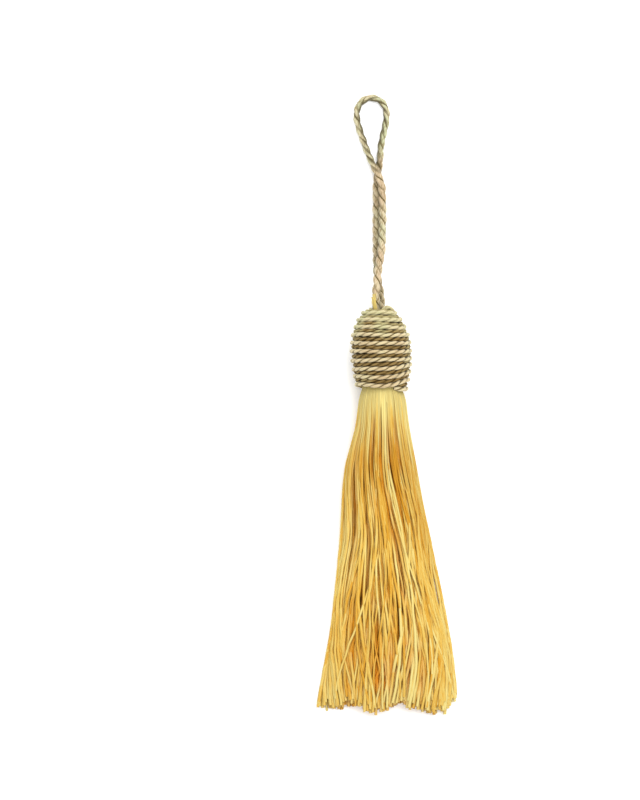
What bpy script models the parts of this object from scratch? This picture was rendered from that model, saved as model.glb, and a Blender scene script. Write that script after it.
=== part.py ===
"""Silk tassel that lies on its back on the plane z = 0: skirt, wound head and hanging loop.

The hem points towards -Y and the loop towards +Y. The origin is on the plane, below the middle of
the skirt and head. The constants and tables are in millimetres, and MM turns them into metres.
"""

import math

import bmesh
import bpy
from mathutils import Euler, Matrix, Vector

MM = 0.001
COLLECTION = "silk_tassel"

# Head: rows of cord wound round the neck, as a domed sleeve that is open at both ends.
HEAD_BASE_Y = 33.0
HEAD_HEIGHT = 24.8
HEAD_RADIUS = 8.8
HEAD_WIDEST = 11.5  # height of the widest row above the base
HEAD_BASE_RADIUS = 7.3
HEAD_ROUNDNESS = 1.88  # exponent of the dome above the widest row
HEAD_RIM = 23.9  # height where the sleeve ends and the loop comes out
HEAD_X = -1.5
HEAD_LEAN = -1.0  # how far the top of the head leans in x
HEAD_SEAT = 0.2  # how far the widest rows are pressed flat
ROWS = 11
ROW_RELIEF = 0.75  # depth of the grooves between rows
ROW_STEPS = 4  # outline steps in each row
ROW_CREST = 0.6  # exponent that keeps crests broad and grooves narrow
ROW_TILT = 0.075  # rise of the lowest rows in y for each millimetre of x
WINDING = 2.1  # thickness of the sleeve
LOOP_HOLE_RADIUS = 2.3
SLEEVE_START = 1.0  # height above the base where the inner wall starts
SLEEVE_END = 23.3
SLEEVE_STEPS = 8
OUTLINE_FINENESS = 400  # short steps that the head's outline is measured in
HEAD_SIDES = 44
MERGE_DISTANCE = 0.00001  # in metres
GAP = 0.3  # between pieces that touch
HEAD_Z = HEAD_RADIUS - HEAD_SEAT

# Neck: the part of the skirt inside the head.
NECK_TOP = 20.0  # height above the base of the head
NECK_STEPS = 7

# Skirt: one row for each section below the head. The section is an ellipse between left and right
# and between top and bottom, and what would reach below the plane is pressed flat on it.
SKIRT_SECTIONS = (
    # y, left, right, top, bottom, groove
    (32.2, -7.0, 4.3, 14.1, 3.0, 0.0),
    (30.6, -7.6, 4.9, 14.7, 2.4, 0.1),
    (27.5, -8.1, 5.4, 14.7, 1.7, 0.2),
    (23.0, -8.8, 6.1, 14.2, 0.7, 0.3),
    (18.0, -10.1, 7.0, 13.3, -0.5, 0.4),
    (12.5, -11.6, 8.0, 12.3, -1.8, 0.5),
    (6.0, -12.4, 9.1, 11.4, -2.9, 0.6),
    (-1.0, -12.7, 10.4, 10.7, -3.8, 0.7),
    (-8.0, -13.0, 11.9, 10.1, -4.5, 0.8),
    (-15.0, -13.6, 13.3, 9.6, -5.0, 0.9),
    (-22.0, -14.3, 14.8, 9.2, -5.4, 1.0),
    (-29.0, -15.0, 16.1, 8.8, -5.8, 1.1),
    (-36.0, -15.9, 17.4, 8.4, -6.0, 1.2),
    (-42.5, -17.1, 18.3, 7.9, -6.0, 1.3),
    (-48.0, -18.1, 18.9, 7.3, -5.6, 1.4),
    (-52.0, -18.8, 19.2, 6.6, -5.2, 1.5),
    (-55.0, -19.3, 19.3, 5.8, -4.8, 1.6),
)
HEM_START_Y = -36.0  # from here on the locks run to their own lengths

# Locks: one row for each lock of thread across the hem, from the right edge to the left.
LOCKS = (
    # width, tip_y
    (1.1, -54.2),
    (0.9, -57.1),
    (1.0, -57.3),
    (1.1, -56.2),
    (0.9, -55.3),
    (1.0, -53.9),
    (1.1, -57.0),
    (0.9, -57.5),
    (1.1, -56.9),
    (1.0, -54.6),
    (0.9, -53.5),
    (1.0, -54.5),
)
LOCK_COLUMNS = 3
LOCK_NOTCH = 2.2  # how far the gap between two locks runs up from the shorter tip

# Hanging loop: one cord, folded in half. It starts inside the head as the lower leg, runs round
# the eye, passes over itself and goes back into the head as the upper leg.
CORD_DIAMETER = 1.8
CORD_POINTS = 76
CORD_FINENESS = 24  # short steps between two points of the route
CORD_ROUTE = (
    # x, y, z
    (-1.25, 53.6, 8.3),
    (-1.65, 59.5, 7.75),
    (-2.3, 62.4, 7.15),
    (-2.75, 65.3, 6.25),
    (-3.05, 71.3, 4.15),
    (-3.1, 74.6, 3.15),
    (-3.1, 78.2, 2.2),
    (-3.05, 82.0, 1.4),
    (-3.1, 86.2, 0.93),
    (-3.1, 89.6, 0.93),
    (-2.6, 93.4, 0.93),
    (-2.0, 97.2, 0.93),
    (-1.75, 101.0, 0.93),
    (-1.1, 104.6, 0.93),
    (-0.35, 107.8, 0.93),
    (-0.1, 110.6, 0.93),
    (-0.7, 112.9, 0.93),
    (-2.2, 114.55, 0.93),
    (-4.35, 115.15, 0.93),
    (-6.5, 114.55, 0.93),
    (-8.0, 112.9, 0.93),
    (-8.55, 110.6, 0.93),
    (-8.15, 107.7, 0.93),
    (-7.2, 104.7, 0.93),
    (-5.2, 99.2, 1.1),
    (-3.45, 95.3, 2.7),
    (-2.5, 93.4, 3.1),
    (-1.7, 91.4, 2.85),
    (-1.3, 89.2, 2.35),
    (-1.2, 86.2, 2.1),
    (-1.15, 82.0, 2.5),
    (-1.2, 78.2, 3.35),
    (-1.3, 75.0, 4.45),
    (-1.55, 71.9, 5.75),
    (-2.1, 69.0, 7.1),
    (-2.55, 65.9, 8.35),
    (-2.95, 62.8, 9.2),
    (-3.25, 59.7, 9.3),
    (-3.35, 53.6, 8.9),
)

SILK_COLOUR = (0.72, 0.45, 0.10, 1.0)
CORD_COLOUR = (0.42, 0.34, 0.19, 1.0)


def clear_scene():
    """Remove every object of the scene."""
    for item in list(bpy.data.objects):
        bpy.data.objects.remove(item, do_unlink=True)


def add_collection(name):
    """Return a new collection of this name, linked to the scene."""
    collection = bpy.data.collections.new(name)
    bpy.context.scene.collection.children.link(collection)
    return collection


def add_material(name, colour, roughness):
    """Return a Principled material of one colour."""
    material = bpy.data.materials.new(name)
    material.use_nodes = True
    shader = material.node_tree.nodes["Principled BSDF"]
    shader.inputs["Base Color"].default_value = colour
    shader.inputs["Roughness"].default_value = roughness
    shader.inputs["Metallic"].default_value = 0.0
    return material


def add_object(name, data, material, collection):
    """Put a mesh or curve into the collection as an object with this material."""
    item = bpy.data.objects.new(name, data)
    data.materials.append(material)
    collection.objects.link(item)
    return item


def head_radius(height):
    """Outer radius of the head at a height above its base, over the crests of the rows."""
    if height >= HEAD_WIDEST:
        rise = (height - HEAD_WIDEST) / (HEAD_HEIGHT - HEAD_WIDEST)
        share = 1.0 - rise**HEAD_ROUNDNESS
        return HEAD_RADIUS * max(share, 0.0) ** (1.0 / HEAD_ROUNDNESS)
    drop = 1.0 - height / HEAD_WIDEST
    return HEAD_RADIUS - (HEAD_RADIUS - HEAD_BASE_RADIUS) * drop * drop


def sleeve_radius(height):
    """Inner radius of the wound sleeve at a height above its base."""
    return max(head_radius(height) - WINDING, LOOP_HOLE_RADIUS)


def head_axis_x(height):
    """Place in x of the head's leaning axis."""
    return HEAD_X + HEAD_LEAN * (max(height, 0.0) / HEAD_HEIGHT) ** 2


def even_points(line, count):
    """Points an equal distance apart along a line of vectors, from its first to its last."""
    lengths = [0.0]
    for start, end in zip(line, line[1:]):
        lengths.append(lengths[-1] + (end - start).length)
    points = []
    place = 0
    for i in range(count):
        wanted = lengths[-1] * i / (count - 1)
        while place < len(line) - 2 and lengths[place + 1] < wanted:
            place += 1
        share = (wanted - lengths[place]) / (lengths[place + 1] - lengths[place])
        points.append(line[place].lerp(line[place + 1], share))
    return points


def even_outline(steps, top):
    """(height, radius) points of the head an equal distance apart, from its base to the top."""
    heights = [top * i / OUTLINE_FINENESS for i in range(OUTLINE_FINENESS + 1)]
    line = [Vector((height, head_radius(height))) for height in heights]
    return even_points(line, steps + 1)


def wound_outline():
    """Outer outline of the head from top to base: a round crest for each row of cord."""
    steps = ROWS * ROW_STEPS - 1
    even = even_outline(steps, HEAD_RIM)
    outline = []
    for i, (height, radius) in enumerate(even):
        before = even[max(i - 1, 0)]
        after = even[min(i + 1, steps)]
        run = Vector((after[0] - before[0], after[1] - before[1])).normalized()
        crest = abs(math.sin(math.pi * i / ROW_STEPS)) ** ROW_CREST
        sink = ROW_RELIEF * (1.0 - crest)
        outline.append((radius - sink * run.x, height + sink * run.y))
    return outline[::-1]


def sleeve_outline():
    """Inner outline of the head from base to top."""
    step = (SLEEVE_END - SLEEVE_START) / SLEEVE_STEPS
    heights = [SLEEVE_START + step * i for i in range(SLEEVE_STEPS + 1)]
    return [(sleeve_radius(height), height) for height in heights]


def press_flat(mesh):
    """Bring what reaches below the plane up to it."""
    for vertex in mesh.vertices:
        vertex.co.z = max(vertex.co.z, 0.0)


def build_head(material, collection):
    """Turn the head's outline round its axis, then lean it, tilt its low rows and press it flat."""
    outline = wound_outline() + sleeve_outline()
    profile = bpy.data.meshes.new("head_profile")
    corners = [(radius * MM, 0.0, height * MM) for radius, height in outline]
    ring = [(i, (i + 1) % len(corners)) for i in range(len(corners))]
    profile.from_pydata(corners, ring, [])
    turned = bpy.data.objects.new("head_profile", profile)
    collection.objects.link(turned)
    screw = turned.modifiers.new("turn", "SCREW")
    screw.steps = HEAD_SIDES
    screw.render_steps = HEAD_SIDES
    screw.use_merge_vertices = True
    screw.merge_threshold = MERGE_DISTANCE
    screw.use_smooth_shade = True

    graph = bpy.context.evaluated_depsgraph_get()
    mesh = bpy.data.meshes.new_from_object(turned.evaluated_get(graph))
    bpy.data.objects.remove(turned, do_unlink=True)
    mesh.name = "head"
    for vertex in mesh.vertices:
        height = vertex.co.z / MM
        tilt = ROW_TILT * (1.0 - min(height / HEAD_WIDEST, 1.0))
        vertex.co.z += tilt * vertex.co.x
    mesh.transform(Euler((-math.pi / 2.0, 0.0, 0.0)).to_matrix().to_4x4())
    for vertex in mesh.vertices:
        vertex.co.x += head_axis_x(vertex.co.y / MM) * MM
    mesh.transform(Matrix.Translation(Vector((0.0, HEAD_BASE_Y, HEAD_Z)) * MM))
    press_flat(mesh)
    return add_object("head", mesh, material, collection)


def lock_columns():
    """One (place across the hem, whether it is a gap, tip_y) for each column of the skirt.

    The place runs from 0 at the right edge to 1 at the left edge.
    """
    total = sum(width for width, _tip in LOCKS)
    columns = [(0.0, True, LOCKS[0][1])]
    start = 0.0
    for i, (width, tip) in enumerate(LOCKS):
        after = LOCKS[min(i + 1, len(LOCKS) - 1)][1]
        for j in range(1, LOCK_COLUMNS):
            columns.append((start + width / total * j / LOCK_COLUMNS, False, tip))
        start += width / total
        columns.append((start, True, max(tip, after) + LOCK_NOTCH))
    return columns


def skirt_ring(section, columns):
    """Corners of one section of the skirt, round from the right edge over the top."""
    y, left, right, top, bottom, groove = section
    hem_y = SKIRT_SECTIONS[-1][0]
    run = max(0.0, (HEM_START_Y - y) / (HEM_START_Y - hem_y)) ** 2
    middle = (left + right) / 2.0
    level = (top + bottom) / 2.0
    upper = []
    lower = []
    for place, is_gap, tip_y in columns:
        angle = math.pi * place
        at_edge = place <= 0.0 or place >= 1.0
        x = middle + (right - left) / 2.0 * math.cos(angle)
        end_y = y + (tip_y - hem_y) * run
        height = (top - bottom) / 2.0 * math.sin(angle)
        sink = groove * math.sin(angle) if is_gap else 0.0
        upper.append(Vector((x, end_y, max(level + height - sink, 0.0))))
        if not at_edge:
            lower.append(Vector((x, end_y, max(level - height, 0.0))))
    return upper + lower[::-1]


def neck_sections():
    """Round sections of the neck, which fills the head's sleeve with a gap all round."""
    sections = []
    for i in range(NECK_STEPS):
        height = NECK_TOP + (SLEEVE_START - NECK_TOP) * i / (NECK_STEPS - 1)
        radius = sleeve_radius(height) - GAP
        middle = head_axis_x(height)
        y = HEAD_BASE_Y + height
        sections.append((y, middle - radius, middle + radius, HEAD_Z + radius, HEAD_Z - radius, 0.0))
    return sections


def build_skirt(material, collection):
    """Loft the skirt from the top of its neck to its hem."""
    columns = lock_columns()
    sections = neck_sections() + list(SKIRT_SECTIONS)
    body = bmesh.new()
    rings = [
        [body.verts.new(corner * MM) for corner in skirt_ring(section, columns)]
        for section in sections
    ]
    count = len(rings[0])
    for above, below in zip(rings, rings[1:]):
        for i in range(count):
            j = (i + 1) % count
            body.faces.new((above[i], above[j], below[j], below[i]))
    body.faces.new(rings[0])
    hem = rings[-1]
    across = len(columns) - 1
    for i in range(across):
        under = (hem[(count - i - 1) % count], hem[(count - i) % count])
        corners = []
        for vertex in (hem[i], hem[i + 1]) + under:
            if vertex not in corners:
                corners.append(vertex)
        body.faces.new(corners)
    bmesh.ops.recalc_face_normals(body, faces=body.faces)
    mesh = bpy.data.meshes.new("skirt")
    body.to_mesh(mesh)
    body.free()
    mesh.shade_smooth()
    return add_object("skirt", mesh, material, collection)


def smooth_route(route, count):
    """Points an equal distance apart on a Catmull-Rom curve through the route."""
    knots = [Vector(point) for point in route]
    ends = [2.0 * knots[0] - knots[1], 2.0 * knots[-1] - knots[-2]]
    knots = [ends[0]] + knots + [ends[1]]
    fine = []
    for p0, p1, p2, p3 in zip(knots, knots[1:], knots[2:], knots[3:]):
        for i in range(CORD_FINENESS):
            t = i / CORD_FINENESS
            fine.append(
                0.5
                * (
                    2.0 * p1
                    + (p2 - p0) * t
                    + (2.0 * p0 - 5.0 * p1 + 4.0 * p2 - p3) * t**2
                    + (3.0 * p1 - p0 - 3.0 * p2 + p3) * t**3
                )
            )
    fine.append(knots[-2])
    return even_points(fine, count)


def build_loop(material, collection):
    """Run the hanging loop's cord along its route as a round tube."""
    curve = bpy.data.curves.new("loop", "CURVE")
    curve.dimensions = "3D"
    curve.bevel_depth = CORD_DIAMETER / 2.0 * MM
    curve.bevel_resolution = 2
    curve.use_fill_caps = True
    points = smooth_route(CORD_ROUTE, CORD_POINTS)
    spline = curve.splines.new("POLY")
    spline.points.add(len(points) - 1)
    for target, point in zip(spline.points, points):
        target.co = (*(point * MM), 1.0)
    return add_object("loop", curve, material, collection)


def main():
    """Build the tassel."""
    clear_scene()
    collection = add_collection(COLLECTION)
    silk = add_material("silk", SILK_COLOUR, 0.35)
    cord = add_material("cord", CORD_COLOUR, 0.75)
    build_skirt(silk, collection)
    build_head(cord, collection)
    build_loop(cord, collection)


main()
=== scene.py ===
"""Dressed silk tassel that lies on a pale floor.

A skirt of separate silk threads hangs from a head that is wound with plied cord, and a hanging loop
of the same cord comes out of the top of the head. Tables and sizes are in millimetres, and MM turns
them into metres. Attributes on the threads carry what the finishes read:

ring    place round the thread, on a circle of radius 1
along   distance along the thread in millimetres
strand  number of the thread
tint    how pale the thread is, from 0 to 1
depth   how deep the thread lies in its bundle, from 0 to 1, which sets its painted shade
apart   how far the threads lie apart, from 0 to 1, which sets the painted shade on their flanks
bind    how tightly they are bound together, from 0 to 1
dull    share of painted shade below the head and on the right side, and of a darkening towards the tips, from 0 to 1
out     the way out of the bundle, or the way that the cord's face looks
crest   1 where the thread faces that way, -1 on its other side
lee     the way to the cord's sheltered side
sheltered   1 where the yarn faces that way, where it gets painted shade
shade   0 on a light ply, 1 on the dark thread in the groove
warmth  how tan the yarn is, from 0, greenish cream, to 1, which also sets its painted valley shade;
on the head it drops as painted light at the sides and, partly, at the top
tape    where the thread starts on one long tape of all the threads, in millimetres
"""

import logging
import math
from dataclasses import dataclass, field
from enum import Enum

import bpy
import numpy as np
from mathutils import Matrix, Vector

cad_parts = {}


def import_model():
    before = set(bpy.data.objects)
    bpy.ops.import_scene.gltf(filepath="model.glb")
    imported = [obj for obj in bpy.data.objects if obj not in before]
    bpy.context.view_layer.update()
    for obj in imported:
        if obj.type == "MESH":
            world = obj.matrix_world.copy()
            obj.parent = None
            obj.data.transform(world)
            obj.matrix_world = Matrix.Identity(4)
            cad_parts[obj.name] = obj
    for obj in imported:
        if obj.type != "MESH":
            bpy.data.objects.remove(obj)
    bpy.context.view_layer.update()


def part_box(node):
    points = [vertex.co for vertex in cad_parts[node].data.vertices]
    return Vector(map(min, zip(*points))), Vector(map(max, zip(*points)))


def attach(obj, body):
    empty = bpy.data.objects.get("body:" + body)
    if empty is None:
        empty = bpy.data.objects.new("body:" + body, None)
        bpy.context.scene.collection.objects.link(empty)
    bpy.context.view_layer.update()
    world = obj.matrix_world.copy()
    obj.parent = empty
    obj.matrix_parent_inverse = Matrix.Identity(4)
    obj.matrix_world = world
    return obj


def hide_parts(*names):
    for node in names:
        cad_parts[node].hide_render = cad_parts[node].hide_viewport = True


MM = 0.001
FULL_TURN = 2.0 * math.pi
LOG = logging.getLogger("tassel")

# The flat map: threads slit open along their length and laid in lanes.
FLAT_MAP = "OFBake"
TAPE_GAP = 1.6  # between two lines on the tape, in millimetres
LID_SHIFT = 0.5  # how far a thread's end lies beyond its strip, in millimetres
LID_SIZE = 0.3  # radius of an end, in millimetres along the lane and in lanes across it
LID_TEST = 0.5  # a face whose middle lies nearer to the thread's middle than this is an end
FIRST_END = 0.01  # a face nearer to the start than this is the first end
LANE_FILL = 0.8  # share of a lane's width that a strip takes
LANE_EDGE = 0.03  # margin at both ends of the lanes

Colour = tuple[float, float, float]
Place = tuple[float, float, float]  # x, y, z
Span = tuple[float, float]  # least and most, or start and end
Rise = tuple[float, float, float]  # gain, and the places where the rise starts and ends
Band = tuple[float, float, float]  # gain, place and width of a bump
Ripple = tuple[float, float, float, int]  # size, shortest and longest wave, number of waves
Reach = tuple[float, float, float]  # where a share is 0, where it is largest, and how large
Points = np.ndarray
UPWARDS = (0.0, 0.0, 1.0)
GOLDEN_ANGLE = math.pi * (3.0 - math.sqrt(5.0))  # turn that spreads places evenly, in radians


class Slot(Enum):
    """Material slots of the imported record."""

    SILK = "silk"
    WOUND_CORD = "wound_cord"
    LOOP_CORD = "loop_cord"


class Twist(Enum):
    """Hand of a plied cord, as the sign of its turn."""

    S = -1.0
    Z = 1.0


# --------------------------------------------------------------------------------------------------
# Small tools for lines of points
# --------------------------------------------------------------------------------------------------


def ease(value: Points | float, start: float, end: float) -> Points | float:
    """Rise smoothly from 0 at start to 1 at end.

    Args:
        value: where to read the rise.
        start: value where the rise starts.
        end: value where the rise ends.

    Returns:
        The rise, between 0 and 1.
    """
    share = np.clip((value - start) / (end - start), 0.0, 1.0)
    return share * share * (3.0 - 2.0 * share)


def rises(t: Points, parts: tuple[Rise, ...]) -> Points:
    """Add up smooth rises.

    Args:
        t: where to read them.
        parts: the rises.

    Returns:
        Their sum at each place.
    """
    return sum(gain * ease(t, start, end) for gain, start, end in parts)


def bump(t: Points, place: float, width: float) -> Points:
    """Rise to 1 at a place and fall away on both sides of it."""
    return np.exp(-(((t - place) / width) ** 2))


def band(t: Points, shape: Band) -> Points:
    """Read a bump with its gain."""
    return shape[0] * bump(t, *shape[1:])


def even_line(line: Points, step: float) -> Points:
    """Space the points of a line evenly.

    Args:
        line: points, one row each.
        step: wanted distance between points.

    Returns:
        The new points, from the line's first to its last.
    """
    runs = np.linalg.norm(np.diff(line, axis=0), axis=1)
    lengths = np.concatenate([[0.0], np.cumsum(runs)])
    count = max(int(round(lengths[-1] / step)), 2)
    wanted = np.linspace(0.0, lengths[-1], count + 1)
    return np.stack([np.interp(wanted, lengths, line[:, k]) for k in range(3)], axis=1)


def smooth_line(knots: Points, fineness: int) -> Points:
    """Draw a Catmull-Rom curve through knots.

    Args:
        knots: points that the curve goes through.
        fineness: short steps between two knots.

    Returns:
        The points of the curve.
    """
    padded = np.vstack([2.0 * knots[0] - knots[1], knots, 2.0 * knots[-1] - knots[-2]])
    t = (np.arange(fineness) / fineness)[:, None]
    parts = []
    for before, start, end, after in zip(padded, padded[1:], padded[2:], padded[3:]):
        parts.append(
            0.5
            * (
                2.0 * start
                + (end - before) * t
                + (2.0 * before - 5.0 * start + 4.0 * end - after) * t**2
                + (3.0 * start - before - 3.0 * end + after) * t**3
            )
        )
    parts.append(knots[-1:])
    return np.vstack(parts)


def waves(rng: np.random.Generator, place: Points, ripple: Ripple) -> Points:
    """Add a few sine waves of random length and phase.

    Args:
        rng: source of the random draws.
        place: where to read the waves.
        ripple: size, lengths and number of the waves.

    Returns:
        A smooth random value for each place, mostly no larger than the size.
    """
    size, shortest, longest, count = ripple
    total = np.zeros_like(place)
    for _ in range(count):
        length = rng.uniform(shortest, longest)
        total += np.sin(FULL_TURN * (place / length + rng.uniform()))
    return size * (total / math.sqrt(count))


@dataclass
class Lines:
    """Centre lines in millimetres, with the values that each of their points carries."""

    points: list[Points] = field(default_factory=list)
    values: dict[str, list[Points]] = field(default_factory=dict)

    def add(self, line: Points, **values: Points | float) -> None:
        """Add one line.

        Args:
            line: its points.
            **values: a number, or one number or direction for each point, by attribute name.
        """
        self.points.append(line)
        for name, value in values.items():
            shape = (len(line),) if np.ndim(value) < 2 else line.shape
            self.values.setdefault(name, []).append(np.broadcast_to(value, shape))

    def reel(self) -> float:
        """Give every line its place on one long tape.

        Returns:
            The tape's length in millimetres.
        """
        end = 0.0
        for line in self.points:
            self.values.setdefault("tape", []).append(np.full(len(line), end + TAPE_GAP / 2.0))
            end += float(np.linalg.norm(np.diff(line, axis=0), axis=1).sum()) + TAPE_GAP
        return end

    def mesh(self, name: str) -> bpy.types.Mesh:
        """Make a mesh of edges from the lines.

        Args:
            name: name of the mesh.

        Returns:
            The mesh, in metres.
        """
        edges = []
        start = 0
        for line in self.points:
            chain = np.arange(start, start + len(line))
            edges.append(np.stack([chain[:-1], chain[1:]], axis=1))
            start += len(line)
        mesh = bpy.data.meshes.new(name)
        corners = np.vstack(self.points) * MM
        mesh.from_pydata(corners.tolist(), np.vstack(edges).tolist(), [])
        for key, parts in self.values.items():
            numbers = np.concatenate(parts).astype(np.float32)
            kind, slot = ("FLOAT", "value") if numbers.ndim == 1 else ("FLOAT_VECTOR", "vector")
            layer = mesh.attributes.new(key, kind, "POINT")
            layer.data.foreach_set(slot, numbers.ravel())
        return mesh


# --------------------------------------------------------------------------------------------------
# Node trees
# --------------------------------------------------------------------------------------------------


class NodeBoard:
    """Adds nodes to a tree and wires them."""

    def __init__(self, tree: bpy.types.NodeTree) -> None:
        """Keep the tree."""
        self.tree = tree

    def add(self, kind: str, inputs: dict | None = None, **settings: object) -> bpy.types.Node:
        """Add a node.

        Args:
            kind: the node's type.
            inputs: a value, or a socket to wire, for each input's name or index.
            **settings: the node's own options.

        Returns:
            The node.
        """
        node = self.tree.nodes.new(kind)
        for name, value in settings.items():
            setattr(node, name, value)
        for key, value in (inputs or {}).items():
            if isinstance(value, bpy.types.NodeSocket):
                self.tree.links.new(value, node.inputs[key])
            else:
                node.inputs[key].default_value = value
        return node

    def math(self, operation: str, *values: object) -> bpy.types.NodeSocket:
        """Add a Math node and return its result."""
        return self.add("ShaderNodeMath", dict(enumerate(values)), operation=operation).outputs[0]

    def vector(self, operation: str, *values: object) -> bpy.types.NodeSocket:
        """Add a Vector Math node and return its vector."""
        node = self.add("ShaderNodeVectorMath", dict(enumerate(values)), operation=operation)
        return node.outputs[0]

    def wire(self, value: bpy.types.NodeSocket, node: bpy.types.Node, name: str) -> None:
        """Wire a value into a node's named input."""
        self.tree.links.new(value, node.inputs[name])

    def scaled(self, vector: bpy.types.NodeSocket, size: object) -> bpy.types.NodeSocket:
        """Multiply a vector by a number."""
        node = self.add("ShaderNodeVectorMath", {0: vector, "Scale": size}, operation="SCALE")
        return node.outputs[0]


class LineSweep:
    """A Geometry Nodes tree that turns a mesh of lines into swept threads."""

    label = "line_sweep"
    inputs: tuple[tuple[str, str], ...] = ()
    lane_inputs = (
        ("Coil", "NodeSocketFloat"),
        ("Lane", "NodeSocketFloat"),
        ("Lanes", "NodeSocketFloat"),
        ("Material", "NodeSocketMaterial"),
    )
    strands = 1

    def __init__(self) -> None:
        """Make the tree with its named inputs."""
        self.tree = bpy.data.node_groups.new(self.label, "GeometryNodeTree")
        self.board = NodeBoard(self.tree)
        sockets = self.tree.interface
        sockets.new_socket(name="Geometry", in_out="INPUT", socket_type="NodeSocketGeometry")
        self.keys = {}
        for name, kind in self.inputs + self.lane_inputs:
            socket = sockets.new_socket(name=name, in_out="INPUT", socket_type=kind)
            self.keys[name] = socket.identifier
        sockets.new_socket(name="Geometry", in_out="OUTPUT", socket_type="NodeSocketGeometry")
        self.given = self.board.add("NodeGroupInput").outputs
        flat = self.flattened(self.build())
        smooth = self.board.add("GeometryNodeSetShadeSmooth", {"Geometry": flat})
        real = self.board.add("GeometryNodeRealizeInstances", {"Geometry": smooth.outputs[0]})
        dressed = self.board.add(
            "GeometryNodeSetMaterial",
            {"Geometry": real.outputs[0], "Material": self.given["Material"]},
        )
        self.board.add("NodeGroupOutput", {"Geometry": dressed.outputs[0]})

    def build(self) -> bpy.types.NodeSocket:
        """Build the part of the tree that makes the threads and return their geometry."""
        raise NotImplementedError

    def named(self, name: str, kind: str = "FLOAT") -> bpy.types.NodeSocket:
        """Read a number or a direction that the lines carry."""
        node = self.board.add("GeometryNodeInputNamedAttribute", {"Name": name}, data_type=kind)
        return node.outputs["Attribute"]

    def store(
        self,
        geometry: bpy.types.NodeSocket,
        name: str,
        value: object,
        kind: str = "FLOAT",
        domain: str = "POINT",
    ) -> bpy.types.NodeSocket:
        """Store a value on each point.

        Args:
            geometry: what to store it on.
            name: the attribute's name.
            value: the value or its socket.
            kind: the attribute's data type.
            domain: what carries the value, if not the points.

        Returns:
            The geometry with the attribute.
        """
        node = self.board.add(
            "GeometryNodeStoreNamedAttribute",
            {"Geometry": geometry, "Name": name, "Value": value},
            data_type=kind,
            domain=domain,
        )
        return node.outputs[0]

    def by_face(self, value: bpy.types.NodeSocket, kind: str = "FLOAT") -> bpy.types.NodeSocket:
        """Average a value over each face."""
        kinds = {"domain": "FACE", "data_type": kind}
        return self.board.add("GeometryNodeFieldOnDomain", {0: value}, **kinds).outputs[0]

    def flattened(self, geometry: bpy.types.NodeSocket) -> bpy.types.NodeSocket:
        """Store a map on which the threads are slit open and lie flat, side by side in lanes.

        Args:
            geometry: the threads.

        Returns:
            The threads with their map.
        """
        board = self.board
        ring = self.named("ring", "FLOAT_VECTOR")
        corner = board.add("ShaderNodeSeparateXYZ", {0: ring}).outputs
        middle = board.add("ShaderNodeSeparateXYZ", {0: self.by_face(ring, "FLOAT_VECTOR")})
        middle_x, middle_y = middle.outputs[0], middle.outputs[1]
        facing = board.math("ARCTAN2", middle_y, middle_x)
        turn = board.math("SUBTRACT", board.math("ARCTAN2", corner[1], corner[0]), facing)
        turn = board.math("ADD", board.math("WRAP", turn, math.pi, -math.pi), facing)
        turn = board.math("MULTIPLY", turn, LANE_FILL / FULL_TURN)
        far = board.math("ADD", board.math("ABSOLUTE", middle_x), board.math("ABSOLUTE", middle_y))
        lid = board.math("LESS_THAN", far, LID_TEST)
        along = self.named("along")
        last = board.math("GREATER_THAN", self.by_face(along), FIRST_END)
        shift = board.math("MULTIPLY_ADD", last, 2.0 * LID_SHIFT, -LID_SHIFT)
        shift = board.math("MULTIPLY_ADD", corner[1], LID_SIZE, shift)
        place = board.math("ADD", self.named("tape"), along)
        if self.strands > 1:
            place = board.math("MULTIPLY_ADD", self.named("strand"), self.given["Coil"], place)
        place = board.math("MULTIPLY_ADD", lid, shift, place)
        place = board.math("DIVIDE", place, self.given["Lane"])
        lane = board.math("FLOOR", self.by_face(place))
        aside = board.math("MULTIPLY", corner[0], LID_SIZE)
        aside = board.math("MULTIPLY_ADD", lid, board.math("SUBTRACT", aside, turn), turn)
        across = board.math("ADD", board.math("ADD", lane, 0.5), aside)
        share = board.math("SUBTRACT", place, lane)
        inputs = {
            "X": board.math("DIVIDE", across, self.given["Lanes"]),
            "Y": board.math("MULTIPLY_ADD", share, 1.0 - 2.0 * LANE_EDGE, LANE_EDGE),
        }
        flat = board.add("ShaderNodeCombineXYZ", inputs).outputs[0]
        return self.store(geometry, FLAT_MAP, flat, "FLOAT2", "CORNER")

    def rod(
        self, curve: bpy.types.NodeSocket, sides: object, radius: object, way: str
    ) -> bpy.types.NodeSocket:
        """Sweep a closed round rod along a curve.

        Args:
            curve: the centre lines.
            sides: number of sides.
            radius: radius at each point, in metres.
            way: name of the attribute that holds the way out of the bundle or cord.

        Returns:
            The rod, which carries the ring and crest attributes.
        """
        circle = self.board.add("GeometryNodeCurvePrimitiveCircle", {"Resolution": sides})
        circle.inputs["Radius"].default_value = 1.0
        place = self.board.add("GeometryNodeInputPosition").outputs[0]
        profile = self.store(circle.outputs["Curve"], "ring", place, "FLOAT_VECTOR")
        swept = self.board.add(
            "GeometryNodeCurveToMesh",
            {"Curve": curve, "Profile Curve": profile, "Scale": radius, "Fill Caps": True},
        )
        return self.store(swept.outputs["Mesh"], "crest", self.towards(way))

    def towards(self, way: str) -> bpy.types.NodeSocket:
        """Measure how far a surface faces the direction that an attribute holds.

        Args:
            way: name of the attribute.

        Returns:
            1 where the surface faces that way, down to -1 where it faces the other way.
        """
        normal = self.board.add("GeometryNodeInputNormal").outputs[0]
        inputs = {0: normal, 1: self.named(way, "FLOAT_VECTOR")}
        node = self.board.add("ShaderNodeVectorMath", inputs, operation="DOT_PRODUCT")
        return node.outputs["Value"]

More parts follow.
